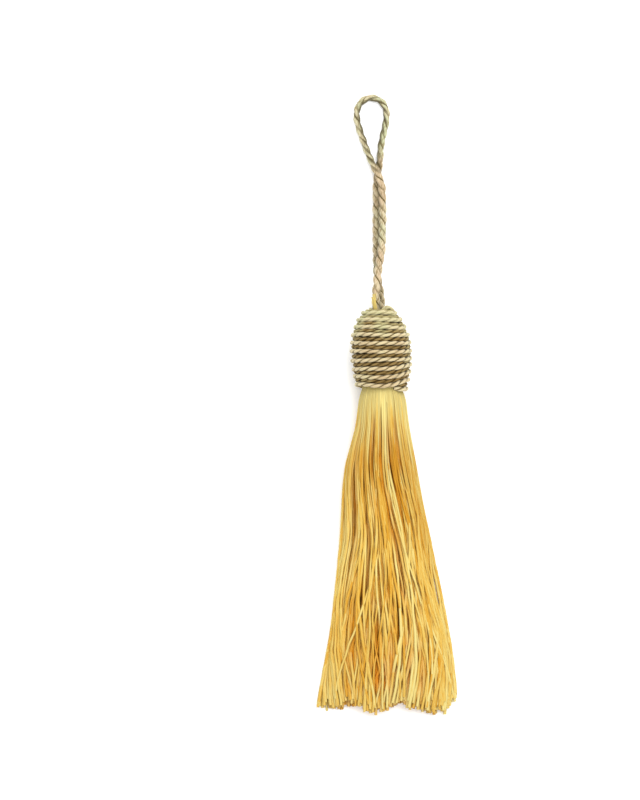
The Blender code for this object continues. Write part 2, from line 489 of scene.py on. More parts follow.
    def run(self, name: str, lines: Lines, girth: float, **values: object) -> bpy.types.Object:
        """Run the tree on some lines and keep the result as a plain mesh.

        Args:
            name: name of the finished piece.
            lines: the centre lines.
            girth: about how long it is round one thread, in millimetres.
            **values: a value for each input, by its name with _ for a space.

        Returns:
            The finished piece, linked to the scene.
        """
        coil = lines.reel()
        lane = math.sqrt(coil * self.strands * girth)
        values.update(coil=coil, lane=lane, lanes=float(math.ceil(coil * self.strands / lane)))
        holder = bpy.data.objects.new(name + "_lines", lines.mesh(name + "_lines"))
        bpy.context.scene.collection.objects.link(holder)
        modifier = holder.modifiers.new(self.label, "NODES")
        modifier.node_group = self.tree
        for key, value in values.items():
            modifier[self.keys[key.replace("_", " ").title()]] = value
        graph = bpy.context.evaluated_depsgraph_get()
        mesh = bpy.data.meshes.new_from_object(holder.evaluated_get(graph))
        bpy.data.objects.remove(holder, do_unlink=True)
        mesh.name = name
        mesh.materials.clear()
        mesh.materials.append(values["material"])
        piece = bpy.data.objects.new(name, mesh)
        bpy.context.scene.collection.objects.link(piece)
        return piece


class ThreadSweep(LineSweep):
    """Sweeps one round thread along each line, as thick as its thickness attribute says."""

    label = "thread_sweep"
    inputs = (("Sides", "NodeSocketInt"),)

    def build(self) -> bpy.types.NodeSocket:
        """Sweep the threads.

        Returns:
            Their geometry.
        """
        curve = self.board.add("GeometryNodeMeshToCurve", {"Mesh": self.given["Geometry"]})
        radius = self.board.math("MULTIPLY", self.named("thickness"), 0.5 * MM)
        return self.rod(curve.outputs[0], self.given["Sides"], radius, "out")


class PlySweep(LineSweep):
    """Twists two plies along each line, with a thin thread in each groove between them.

    The lines carry out, the direction that the cord's face looks in, lee, the direction of its
    sheltered side, which gets painted shade, and swell, its thickness as a share of the make's.
    Shades holds each strand's shade attribute.
    """

    label = "ply_sweep"
    strands = 4
    shades = (0.0, 0.0, 1.0, 0.55)
    wobble_scale = 0.9
    seed_step = 7.3
    inputs = (
        ("Sides", "NodeSocketInt"),
        ("Step", "NodeSocketFloat"),
        ("Lay", "NodeSocketFloat"),
        ("Hand", "NodeSocketFloat"),
        ("Ply Offset", "NodeSocketFloat"),
        ("Ply Radius", "NodeSocketFloat"),
        ("Squeeze", "NodeSocketFloat"),
        ("Groove Offset", "NodeSocketFloat"),
        ("Groove Radius", "NodeSocketFloat"),
        ("Wobble", "NodeSocketFloat"),
        ("Seed", "NodeSocketFloat"),
    )

    def strand(self, number: int, curve: bpy.types.NodeSocket) -> bpy.types.NodeSocket:
        """Build one strand of the cord.

        Args:
            number: 0 and 1 are the plies, 2 and 3 are the threads in the grooves.
            curve: the cord's even centre line.

        Returns:
            The strand's mesh.
        """
        board = self.board
        groove = number >= 2
        offset = self.given["Groove Offset" if groove else "Ply Offset"]
        radius = self.given["Groove Radius" if groove else "Ply Radius"]
        length = board.add("GeometryNodeSplineParameter").outputs["Length"]
        share = board.math("DIVIDE", length, self.given["Lay"])
        seed = board.math("ADD", self.given["Seed"], self.seed_step * number)
        noise = board.add(
            "ShaderNodeTexNoise",
            {"W": board.math("ADD", share, seed), "Scale": self.wobble_scale, "Detail": 1.0},
            noise_dimensions="1D",
        ).outputs[0]
        sway = board.math("MULTIPLY", board.math("SUBTRACT", noise, 0.5), self.given["Wobble"])
        turns = board.math("ADD", share, board.math("MULTIPLY", sway, 0.5))
        phase = (number % 2) * math.pi + (math.pi / 2.0 if groove else 0.0)
        full_turn = board.math("MULTIPLY", self.given["Hand"], FULL_TURN)
        angle = board.math("MULTIPLY_ADD", turns, full_turn, phase)
        swell = board.math("MULTIPLY", board.math("ADD", sway, 1.0), self.named("swell"))
        throw = board.math("MULTIPLY", offset, swell)
        tangent = board.add("GeometryNodeInputTangent").outputs[0]
        facing = self.named("out", "FLOAT_VECTOR")
        side = board.vector("NORMALIZE", board.vector("CROSS_PRODUCT", tangent, facing))
        face = board.vector("CROSS_PRODUCT", side, tangent)
        ahead = board.scaled(face, board.math("MULTIPLY", board.math("COSINE", angle), throw))
        flat = board.math("MULTIPLY", throw, self.given["Squeeze"])
        aside = board.scaled(side, board.math("MULTIPLY", board.math("SINE", angle), flat))
        shift = board.vector("ADD", ahead, aside)
        marked = self.store(curve, "way", board.vector("NORMALIZE", shift), "FLOAT_VECTOR")
        marked = self.store(marked, "along", board.math("MULTIPLY", length, 1.0 / MM))
        marked = self.store(marked, "strand", float(number))
        marked = self.store(marked, "shade", self.shades[number])
        moved = board.add("GeometryNodeSetPosition", {"Geometry": marked, "Offset": shift})
        radius = board.math("MULTIPLY", radius, swell)
        return self.rod(moved.outputs[0], self.given["Sides"], radius, "way")

    def build(self) -> bpy.types.NodeSocket:
        """Join the four strands.

        Returns:
            Their geometry.
        """
        curve = self.board.add("GeometryNodeMeshToCurve", {"Mesh": self.given["Geometry"]})
        even = self.board.add(
            "GeometryNodeResampleCurve",
            {"Curve": curve.outputs[0], "Length": self.given["Step"]},
            mode="LENGTH",
        )
        joined = self.board.add("GeometryNodeJoinGeometry")
        for number in range(self.strands):
            self.tree.links.new(self.strand(number, even.outputs[0]), joined.inputs[0])
        return self.store(joined.outputs[0], "sheltered", self.towards("lee"))


# --------------------------------------------------------------------------------------------------
# Finishes
# --------------------------------------------------------------------------------------------------


class Finish:
    """A procedural finish."""

    name = "finish"

    def dress(self, board: NodeBoard, shader: bpy.types.Node) -> None:
        """Wire the pattern into the shader.

        Args:
            board: the material's nodes.
            shader: the Principled shader.
        """
        raise NotImplementedError

    def material(self) -> bpy.types.Material:
        """Make the finish.

        Returns:
            The material.
        """
        material = bpy.data.materials.new(self.name)
        material.use_nodes = True
        shader = material.node_tree.nodes["Principled BSDF"]
        self.dress(NodeBoard(material.node_tree), shader)
        return material


STRAND_STEP = 5.7  # how far apart two strands lie in the noise, so that they differ


def read(board: NodeBoard, name: str, output: str = "Fac") -> bpy.types.NodeSocket:
    """Read an attribute of the piece in a material."""
    return board.add("ShaderNodeAttribute", attribute_name=name).outputs[output]


def fibre_noise(
    board: NodeBoard, twist: float, around: float, stretch: float
) -> bpy.types.NodeSocket:
    """Noise in streaks that run along a thread and turn with its twist.

    Args:
        board: the material's nodes.
        twist: turn of the streaks in radians for each millimetre.
        around: number of streaks round the thread.
        stretch: change along the thread for each millimetre.

    Returns:
        The noise, between 0 and 1.
    """
    along = read(board, "along")
    turned = board.add(
        "ShaderNodeVectorRotate",
        {"Vector": read(board, "ring", "Vector"), "Angle": board.math("MULTIPLY", along, twist)},
        rotation_type="Z_AXIS",
    ).outputs[0]
    spread = board.vector("MULTIPLY", turned, (around, around, 0.0))
    place = board.math("MULTIPLY", along, stretch)
    place = board.math("MULTIPLY_ADD", read(board, "strand"), STRAND_STEP, place)
    lift = board.add("ShaderNodeCombineXYZ", {"Z": place}).outputs[0]
    noise = board.add(
        "ShaderNodeTexNoise",
        {"Vector": board.vector("ADD", spread, lift), "Scale": 1.0, "Detail": 3.0},
    )
    return noise.outputs[0]


def body_noise(board: NodeBoard, scale: float, detail: float = 2.0) -> bpy.types.NodeSocket:
    """Noise through the whole piece.

    Args:
        board: the material's nodes.
        scale: patches for each metre.
        detail: octaves of finer noise.

    Returns:
        The noise, between 0 and 1.
    """
    place = board.add("ShaderNodeTexCoord").outputs["Object"]
    noise = board.add("ShaderNodeTexNoise", {"Vector": place, "Scale": scale, "Detail": detail})
    return noise.outputs[0]


def ramp(
    board: NodeBoard, value: bpy.types.NodeSocket, stops: tuple[tuple[float, Colour], ...]
) -> bpy.types.NodeSocket:
    """Turn a value into a colour.

    Args:
        board: the material's nodes.
        value: the value, between 0 and 1.
        stops: (value, colour) from low to high.

    Returns:
        The colour.
    """
    node = board.add("ShaderNodeValToRGB", {0: value})
    while len(node.color_ramp.elements) < len(stops):
        node.color_ramp.elements.new(0.5)
    for element, (place, colour) in zip(node.color_ramp.elements, stops):
        element.position = place
        element.color = (*colour, 1.0)
    return node.outputs[0]


def blend(
    board: NodeBoard,
    share: bpy.types.NodeSocket | float,
    first: bpy.types.NodeSocket | Colour,
    second: bpy.types.NodeSocket | Colour,
) -> bpy.types.NodeSocket:
    """Mix two colours.

    Args:
        board: the material's nodes.
        share: share of the second colour.
        first: first colour.
        second: second colour.

    Returns:
        The mixed colour.
    """
    node = board.add("ShaderNodeMix", data_type="RGBA")
    ends = {"Factor_Float": share, "A_Color": first, "B_Color": second}
    for socket in node.inputs:
        if socket.identifier in ends:
            value = ends[socket.identifier]
            if isinstance(value, bpy.types.NodeSocket):
                board.tree.links.new(value, socket)
            else:
                socket.default_value = (*value, 1.0) if isinstance(value, tuple) else value
    return next(socket for socket in node.outputs if socket.identifier == "Result_Color")


def reach(
    board: NodeBoard, value: bpy.types.NodeSocket, none: float, full: float, share: float
) -> bpy.types.NodeSocket:
    """Turn a value into a share.

    Args:
        board: the material's nodes.
        value: the value.
        none: where the share is 0.
        full: where the share is largest.
        share: the largest share.

    Returns:
        The share.
    """
    inputs = {"Value": value, "From Min": none, "From Max": full, "To Max": share}
    return board.add("ShaderNodeMapRange", inputs).outputs[0]


def emboss(
    board: NodeBoard,
    shader: bpy.types.Node,
    height: bpy.types.NodeSocket,
    strength: float,
    depth: float,
) -> None:
    """Wire a bump into the shader.

    Args:
        board: the material's nodes.
        shader: the Principled shader.
        height: the relief, between 0 and 1.
        strength: how strongly it shows.
        depth: its depth in millimetres.
    """
    inputs = {"Height": height, "Strength": strength, "Distance": depth * MM}
    relief = board.add("ShaderNodeBump", inputs).outputs[0]
    board.wire(relief, shader, "Normal")


@dataclass(frozen=True)
class SilkFinish(Finish):
    """Golden silk: glossy threads of many filaments, some paler and some deeper.

    Attributes:
        deep, middle, pale: the dye, from the lowest tone to the highest.
        bound, inner, dusk: dye of the bound threads, painted shade of flanks and deep threads, and
            painted shade below the head and on the right side, also darkening the tips.
        tone: how much the tint, the filaments and the clouds count in it, and what is added.
        tightness: how far bound threads take their own dye.
        flank_shade: the crest from which the sides of a thread go over to the inner painted shade,
            and how far.
        deep_shade_share: how far the deepest threads go over to that painted shade.
        roughness, specular: the gloss.
    """

    name: str = "gold_silk"
    deep: Colour = (0.48, 0.220, 0.008)
    middle: Colour = (0.56, 0.372, 0.075)
    pale: Colour = (0.60, 0.500, 0.180)
    bound: Colour = (0.43, 0.355, 0.130)
    gap_shade: Colour = (0.50, 0.160, 0.001)
    dim_shade: Colour = (0.20, 0.130, 0.048)
    tone: tuple[float, float, float, float] = (0.66, 0.80, 0.26, -0.38)
    tightness: float = 0.9
    flank_shade: Reach = (0.65, -0.2, 0.40)
    deep_shade_share: float = 0.85
    roughness: Span = (0.46, 0.62)
    specular: float = 0.08

    def dress(self, board: NodeBoard, shader: bpy.types.Node) -> None:
        """Wire the dye with its painted shade, the filaments and the gloss.

        Args:
            board: the material's nodes.
            shader: the Principled shader.
        """
        filament = fibre_noise(board, twist=0.9, around=3.4, stretch=0.16)
        cloud = body_noise(board, scale=75.0)
        by_tint, by_filament, by_cloud, base = self.tone
        value = board.math("MULTIPLY", filament, by_filament)
        value = board.math("MULTIPLY_ADD", read(board, "tint"), by_tint, value)
        value = board.math("ADD", value, board.math("MULTIPLY_ADD", cloud, by_cloud, base))
        dye = ramp(board, value, ((0.12, self.deep), (0.46, self.middle), (0.80, self.pale)))
        bound = board.math("MULTIPLY", read(board, "bind"), self.tightness)
        dye = blend(board, bound, dye, self.bound)
        # painted shade below the head and on the right side, and a darkening towards the tips
        dye = blend(board, read(board, "dull"), dye, self.dim_shade)
        # painted shade on the flanks of threads that lie apart, and on threads deep in the bundle
        flank_shade = reach(board, read(board, "crest"), *self.flank_shade)
        flank_shade = board.math("MULTIPLY", flank_shade, read(board, "apart"))
        deep = board.math("MULTIPLY", read(board, "depth"), self.deep_shade_share)
        dye = blend(board, board.math("MAXIMUM", deep, flank_shade), dye, self.gap_shade)
        board.wire(dye, shader, "Base Color")
        low, high = self.roughness
        board.wire(board.math("MULTIPLY_ADD", filament, high - low, low), shader, "Roughness")
        shader.inputs["Specular IOR Level"].default_value = self.specular
        emboss(board, shader, filament, strength=0.5, depth=0.05)


@dataclass(frozen=True)
class CordFinish(Finish):
    """Plied cord: light plies that wander between tan and greenish cream, dark groove threads, and
    painted shade in the valleys and on the sheltered side.

    Attributes:
        tan, cream, green: the light yarn, from warm to cool.
        groove, fleck, gloom: the dark threads, the flecks and the painted shade on the sheltered
            side.
        valley: the crest from which a ply darkens towards its neighbour, a painted shade in the
            valley between the plies.
        faint: share of that painted shade, and of the groove threads' darkness, that stays where
            the yarn isn't warm.
        flecks, spots: how dark the flecks are, and in which range of the fibres.
        shelter, shelter_range: how dark the painted shade on the sheltered side is, and from where
            to where it grows.
        grain: how fast the fibres change along the cord.
        patches: how strongly the dye changes along it.
        warm_pull, warm_range: how far warmth takes the yarn to tan, and over what warmth the
            painted shade grows.
        roughness, specular: the gloss.
        sheen, sheen_roughness, sheen_tint: the soft light on the fuzz at its edges.
    """

    name: str = "row_cord"
    tan: Colour = (0.41, 0.295, 0.160)
    cream: Colour = (0.51, 0.425, 0.250)
    green: Colour = (0.42, 0.405, 0.215)
    groove: Colour = (0.050, 0.029, 0.004)
    fleck: Colour = (0.15, 0.100, 0.024)
    shelter_shade: Colour = (0.065, 0.052, 0.018)
    valley: Reach = (0.42, -0.15, 0.92)
    faint: float = 0.25
    flecks: float = 0.55
    shelter: float = 0.0
    grain: float = 0.35
    spots: Span = (0.30, 0.44)
    patches: float = 0.62
    warm_pull: float = -0.36
    warm_range: Span = (0.15, 0.55)
    shelter_range: Span = (-0.1, 0.55)
    roughness: Span = (0.55, 0.78)
    specular: float = 0.10
    sheen: float = 0.36
    sheen_roughness: float = 0.5
    sheen_tint: Colour = (1.0, 0.93, 0.76)

    def dress(self, board: NodeBoard, shader: bpy.types.Node) -> None:
        """Wire the two yarn colours, the fibres and the soft gloss.

        Args:
            board: the material's nodes.
            shader: the Principled shader.
        """
        fibre = fibre_noise(board, twist=-1.3, around=2.4, stretch=self.grain)
        wander = body_noise(board, scale=150.0, detail=3.0)
        warmth = read(board, "warmth")
        mottle = board.math("SUBTRACT", wander, 0.5)
        mottle = board.math("MULTIPLY_ADD", mottle, self.patches, 0.49)
        value = board.math("MULTIPLY_ADD", fibre, 0.45, mottle)
        value = board.math("MULTIPLY_ADD", warmth, self.warm_pull, value)
        yarn = ramp(board, value, ((0.30, self.tan), (0.52, self.cream), (0.74, self.green)))
        low, high = self.spots
        yarn = blend(board, reach(board, fibre, high, low, self.flecks), yarn, self.fleck)
        dim = ramp(board, fibre, ((0.30, self.groove), (0.75, self.fleck)))
        # painted shade where a ply faces its neighbour, weaker with the groove threads where the
        # yarn isn't warm
        valley = reach(board, read(board, "crest"), *self.valley)
        dark_grooves_and_valley_shade = board.math("MAXIMUM", valley, read(board, "shade"))
        strong = reach(board, warmth, *self.warm_range, 1.0 - self.faint)
        strong = board.math("ADD", strong, self.faint)
        yarn = blend(board, board.math("MULTIPLY", dark_grooves_and_valley_shade, strong), yarn, dim)
        # painted shade on the sheltered side of the cord
        shelter_shade = reach(board, read(board, "sheltered"), *self.shelter_range, self.shelter)
        yarn = blend(board, shelter_shade, yarn, self.shelter_shade)
        board.wire(yarn, shader, "Base Color")
        low, high = self.roughness
        board.wire(board.math("MULTIPLY_ADD", fibre, high - low, low), shader, "Roughness")
        shader.inputs["Specular IOR Level"].default_value = self.specular
        shader.inputs["Sheen Weight"].default_value = self.sheen
        shader.inputs["Sheen Roughness"].default_value = self.sheen_roughness
        shader.inputs["Sheen Tint"].default_value = (*self.sheen_tint, 1.0)
        emboss(board, shader, fibre, strength=0.6, depth=0.08)


@dataclass(frozen=True)
class DarkCordFinish(CordFinish):
    """The brown cord between the rows, with hardly any fuzz."""

    name: str = "dark_cord"
    tan: Colour = (0.155, 0.098, 0.030)
    cream: Colour = (0.215, 0.142, 0.050)
    green: Colour = (0.42, 0.385, 0.195)
    groove: Colour = (0.034, 0.018, 0.002)
    fleck: Colour = (0.060, 0.036, 0.007)
    flecks: float = 0.85
    specular: float = 0.05
    sheen: float = 0.03


@dataclass(frozen=True)
class LoopCordFinish(CordFinish):
    """The loop's cord: lighter and more flecked than the rows, with painted shade on its sheltered
    side.
    """

    name: str = "loop_cord"
    tan: Colour = (0.46, 0.345, 0.220)
    cream: Colour = (0.50, 0.440, 0.285)
    green: Colour = (0.41, 0.420, 0.255)
    groove: Colour = (0.060, 0.048, 0.013)
    valley: Reach = (0.25, -0.35, 0.85)
    faint: float = 0.9
    flecks: float = 0.8
    shelter: float = 0.95
    grain: float = 0.8
    spots: Span = (0.37, 0.53)
    patches: float = 1.3
    specular: float = 0.12


@dataclass(frozen=True)
class LinerFinish(Finish):
    """Dark brown fibre that shows between the rows of the winding."""

    name: str = "dark_liner"
    low: Colour = (0.040, 0.023, 0.005)
    high: Colour = (0.11, 0.070, 0.020)
    roughness: float = 0.9

    def dress(self, board: NodeBoard, shader: bpy.types.Node) -> None:
        """Wire the mottled fibre.

        Args:
            board: the material's nodes.
            shader: the Principled shader.
        """
        noise = body_noise(board, scale=1800.0, detail=3.0)
        tone = ramp(board, noise, ((0.3, self.low), (0.7, self.high)))
        board.wire(tone, shader, "Base Color")
        shader.inputs["Roughness"].default_value = self.roughness
        emboss(board, shader, noise, strength=0.6, depth=0.15)


@dataclass(frozen=True)
class FloorFinish(Finish):
    """Plain white paper."""

    name: str = "white_paper"
    tone: Colour = (0.96, 0.96, 0.96)
    roughness: float = 0.95
    specular: float = 0.1

    def dress(self, board: NodeBoard, shader: bpy.types.Node) -> None:
        """Set the plain tone.

        Args:
            board: the material's nodes.
            shader: the Principled shader.
        """
        shader.inputs["Base Color"].default_value = (*self.tone, 1.0)
        shader.inputs["Roughness"].default_value = self.roughness
        shader.inputs["Specular IOR Level"].default_value = self.specular


# --------------------------------------------------------------------------------------------------
# Studio
# --------------------------------------------------------------------------------------------------


@dataclass(frozen=True)
class Lamp:
    """A soft square lamp that faces the middle of the tassel."""

    name: str
    place: Place
    size: float
    power: float
    colour: Colour = (1.0, 1.0, 1.0)


@dataclass
class Studio:
    """Camera, floor and soft light. Distances are in metres.

    Attributes:
        view_middle, view_height: middle and height of what the camera sees.
        camera_distance, focus_level: how far it hangs above the level that it is measured at.
        sensor: its width in millimetres.
        floor_size: side of the square floor.
        sky, target, lamps: strength of the even light, and the lamps and what they face.
    """

    view_middle: tuple[float, float] = (-0.0188, 0.0304)
    view_height: float = 0.224
    camera_distance: float = 4.0
    focus_level: float = 0.006
    sensor: float = 36.0
    floor_size: float = 4.0
    sky: float = 0.80
    target: Place = (0.0, 0.02, 0.0)
    lamps: tuple[Lamp, ...] = (
        Lamp("key", (0.35, 0.60, 1.35), 1.3, 28.0),
        Lamp("fill", (-0.35, -0.85, 1.0), 0.9, 5.0),
    )

    def add_camera(self) -> None:
        """Look straight down, with the head of the tassel towards the top of the picture."""
        lens = bpy.data.cameras.new("camera")
        lens.sensor_width = self.sensor
        lens.lens = self.sensor * self.camera_distance / self.view_height
        camera = bpy.data.objects.new("camera", lens)
        camera.location = (*self.view_middle, self.camera_distance + self.focus_level)
        bpy.context.scene.collection.objects.link(camera)
        bpy.context.scene.camera = camera

    def add_floor(self) -> None:
        """Lay a plain pale floor on the plane that the tassel rests on."""
        half = self.floor_size / 2.0
        corners = [(-half, -half, 0.0), (half, -half, 0.0), (half, half, 0.0), (-half, half, 0.0)]
        mesh = bpy.data.meshes.new("floor")
        mesh.from_pydata(corners, [], [(0, 1, 2, 3)])
        mesh.materials.append(FloorFinish().material())
        floor = bpy.data.objects.new("floor", mesh)
        bpy.context.scene.collection.objects.link(floor)

    def add_light(self) -> None:
        """Hang the lamps and light the room evenly."""
        world = bpy.data.worlds.new("room")
        world.use_nodes = True
        sky = world.node_tree.nodes["Background"]
        sky.inputs["Color"].default_value = (1.0, 1.0, 1.0, 1.0)
        sky.inputs["Strength"].default_value = self.sky
        bpy.context.scene.world = world
        for lamp in self.lamps:
            light = bpy.data.lights.new(lamp.name, "AREA")
            light.size = lamp.size
            light.energy = lamp.power
            light.color = lamp.colour
            holder = bpy.data.objects.new(lamp.name, light)
            holder.location = lamp.place
            aim = Vector(self.target) - Vector(lamp.place)
            holder.rotation_euler = aim.to_track_quat("-Z", "Y").to_euler()
            bpy.context.scene.collection.objects.link(holder)
        bpy.context.scene.view_settings.view_transform = "Standard"

    def build(self) -> None:
        """Set up the studio."""
        self.add_camera()
        self.add_floor()
        self.add_light()
        LOG.info("studio: camera, floor and %d lamps", len(self.lamps))


# --------------------------------------------------------------------------------------------------
# Plied cord
# --------------------------------------------------------------------------------------------------


@dataclass(frozen=True)
class CordMake:
    """How a plied cord is made, in millimetres.

    Attributes:
        ply_offset, ply_radius: how far a ply lies from the middle, and its radius.
        squeeze: how flat the cord is pressed, 1 being round.
        groove_offset, groove_radius: the same two sizes for the thin threads in the grooves.
        lay: length of one turn.
        step, sides: distance between two rings of each strand, and sides of a ring.
        wobble: unevenness of the turns and of the thickness.
        twist: hand of the turns.
    """

    ply_offset: float = 0.42
    ply_radius: float = 0.46
    squeeze: float = 1.0
    groove_offset: float = 0.56
    groove_radius: float = 0.14
    lay: float = 6.0
    step: float = 0.5
    sides: int = 8
    wobble: float = 0.10
    twist: Twist = Twist.S

    @property
    def diameter(self) -> float:
        """Thickness over the plies."""
        return 2.0 * (self.ply_offset + self.ply_radius)

    def spin(
        self, sweep: PlySweep, name: str, lines: Lines, material: bpy.types.Material, seed: float
    ) -> bpy.types.Object:
        """Make the cord along some lines.

        Args:
            sweep: the tree that twists the plies.
            name: name of the piece.
            lines: the cord's centre lines.
            material: its finish.
            seed: where its unevenness starts.

        Returns:
            The cord.
        """
        return sweep.run(
            name,
            lines,
            girth=FULL_TURN * self.ply_radius,
            sides=self.sides,
            step=self.step * MM,
            lay=self.lay * MM,
            hand=self.twist.value,
            ply_offset=self.ply_offset * MM,
            ply_radius=self.ply_radius * MM,
            squeeze=self.squeeze,
            groove_offset=self.groove_offset * MM,
            groove_radius=self.groove_radius * MM,
            wobble=self.wobble,
            seed=seed,
            material=material,
        )


# --------------------------------------------------------------------------------------------------
# Hanging loop
# --------------------------------------------------------------------------------------------------


@dataclass
class HangingLoop:
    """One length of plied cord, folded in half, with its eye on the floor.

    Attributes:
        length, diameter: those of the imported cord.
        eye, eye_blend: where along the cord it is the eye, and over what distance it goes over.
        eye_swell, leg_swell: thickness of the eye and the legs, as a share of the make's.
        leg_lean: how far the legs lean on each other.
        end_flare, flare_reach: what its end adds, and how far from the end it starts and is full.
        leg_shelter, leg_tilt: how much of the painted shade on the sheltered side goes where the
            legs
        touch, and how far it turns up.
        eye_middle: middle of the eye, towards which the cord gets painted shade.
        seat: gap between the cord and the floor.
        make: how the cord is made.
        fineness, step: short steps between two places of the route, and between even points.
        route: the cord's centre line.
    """

    length: float = 132.3
    diameter: float = 1.8
    eye: Span = (44.0, 91.0)
    eye_blend: float = 5.0
    eye_swell: float = 1.14
    leg_swell: float = 1.36
    leg_lean: float = 0.16
    end_flare: float = 0.06
    flare_reach: Span = (10.0, 4.0)
    leg_shelter: float = 0.66
    leg_tilt: float = 0.25
    eye_middle: Place = (-4.2, 106.0, 0.9)
    seat: float = 0.06
    make: CordMake = CordMake(
        ply_offset=0.31, ply_radius=0.57, groove_offset=0.55, groove_radius=0.15, wobble=0.26
    )
    fineness: int = 12
    step: float = 1.5
    route: tuple[Place, ...] = (
        # x, y, z
        (-1.25, 53.6, 8.3),
        (-1.65, 59.5, 7.75),
        (-2.3, 62.4, 7.15),
        (-2.75, 65.3, 6.25),
        (-3.05, 71.3, 4.15),
        (-3.1, 74.6, 3.15),
        (-3.1, 78.2, 2.2),
        (-3.05, 82.0, 1.4),
        (-3.1, 86.2, 0.93),
        (-3.1, 89.6, 0.93),
        (-2.6, 93.4, 0.93),
        (-2.0, 97.2, 0.93),
        (-1.75, 101.0, 0.93),
        (-1.1, 104.6, 0.93),
        (-0.35, 107.8, 0.93),
        (-0.1, 110.6, 0.93),
        (-0.7, 112.9, 0.93),
        (-2.2, 114.55, 0.93),
        (-4.35, 115.15, 0.93),
        (-6.5, 114.55, 0.93),
        (-8.0, 112.9, 0.93),
        (-8.55, 110.6, 0.93),
        (-8.15, 107.7, 0.93),
        (-7.2, 104.7, 0.93),
        (-5.2, 99.2, 1.1),
        (-3.45, 95.3, 2.7),
        (-2.5, 93.4, 3.1),
        (-1.7, 91.4, 2.85),
        (-1.3, 89.2, 2.35),
        (-1.2, 86.2, 2.1),
        (-1.15, 82.0, 2.5),
        (-1.2, 78.2, 3.35),
        (-1.3, 75.0, 4.45),
        (-1.55, 71.9, 5.75),
        (-2.1, 69.0, 7.1),
        (-2.55, 65.9, 8.35),
        (-2.95, 62.8, 9.2),
        (-3.25, 59.7, 9.3),
        (-3.35, 53.6, 8.9),
    )

    def gaps(self, centre: Points, along: Points) -> Points:
        """Measure the distance from each point to each point of the other leg.

        Args:
            centre: the cord's centre line.
            along: distance along the cord at each point.

        Returns:
            The distances, and a very large one between points of the same leg.
        """
        apart = np.linalg.norm(centre[:, None] - centre, axis=2)
        near = np.abs(along[:, None] - along) < self.length / 4.0
        return np.where(near, self.length, apart)

    def build(self, sweep: PlySweep, material: bpy.types.Material) -> bpy.types.Object:
        """Args:
            sweep: the tree that twists the plies.
            material: the cord's finish.

        Returns:
            The loop.
        """
        centre = even_line(smooth_line(np.array(self.route), self.fineness), self.step)
        along = np.linspace(0.0, self.length, len(centre))
        opens, closes = self.eye
        legs = 1.0 - ease(along, opens - self.eye_blend, opens + self.eye_blend)
        legs = legs + ease(along, closes - self.eye_blend, closes + self.eye_blend)
        flare = ease(along, *(self.length - part for part in self.flare_reach))
        # lee points where the cord gets painted shade: to the other leg in the legs, to the eye's
        # middle in the eye
        twin = centre[np.argmin(self.gaps(centre, along), axis=1)]
        lee = np.where(legs[:, None] > 0.5, twin, np.array(self.eye_middle)) - centre
        swell = self.eye_swell + (self.leg_swell - self.eye_swell) * legs + self.end_flare * flare
        lee /= np.linalg.norm(lee, axis=1)[:, None]
        yarn = centre + self.leg_lean * legs[:, None] * lee
        yarn[:, 2] = np.maximum(yarn[:, 2], self.make.diameter / 2.0 * swell + self.seat)
        lee[:, 2] += self.leg_tilt * legs
        lines = Lines()
        lines.add(
            yarn,
            out=np.tile(UPWARDS, (len(centre), 1)),
            lee=lee * (1.0 - self.leg_shelter * legs[:, None]),
            swell=swell,
            warmth=legs,
        )
        loop = self.make.spin(sweep, "loop_cord", lines, material, seed=3.0)
        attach(loop, "root")
        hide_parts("loop")
        return loop


# --------------------------------------------------------------------------------------------------
# Head
# --------------------------------------------------------------------------------------------------


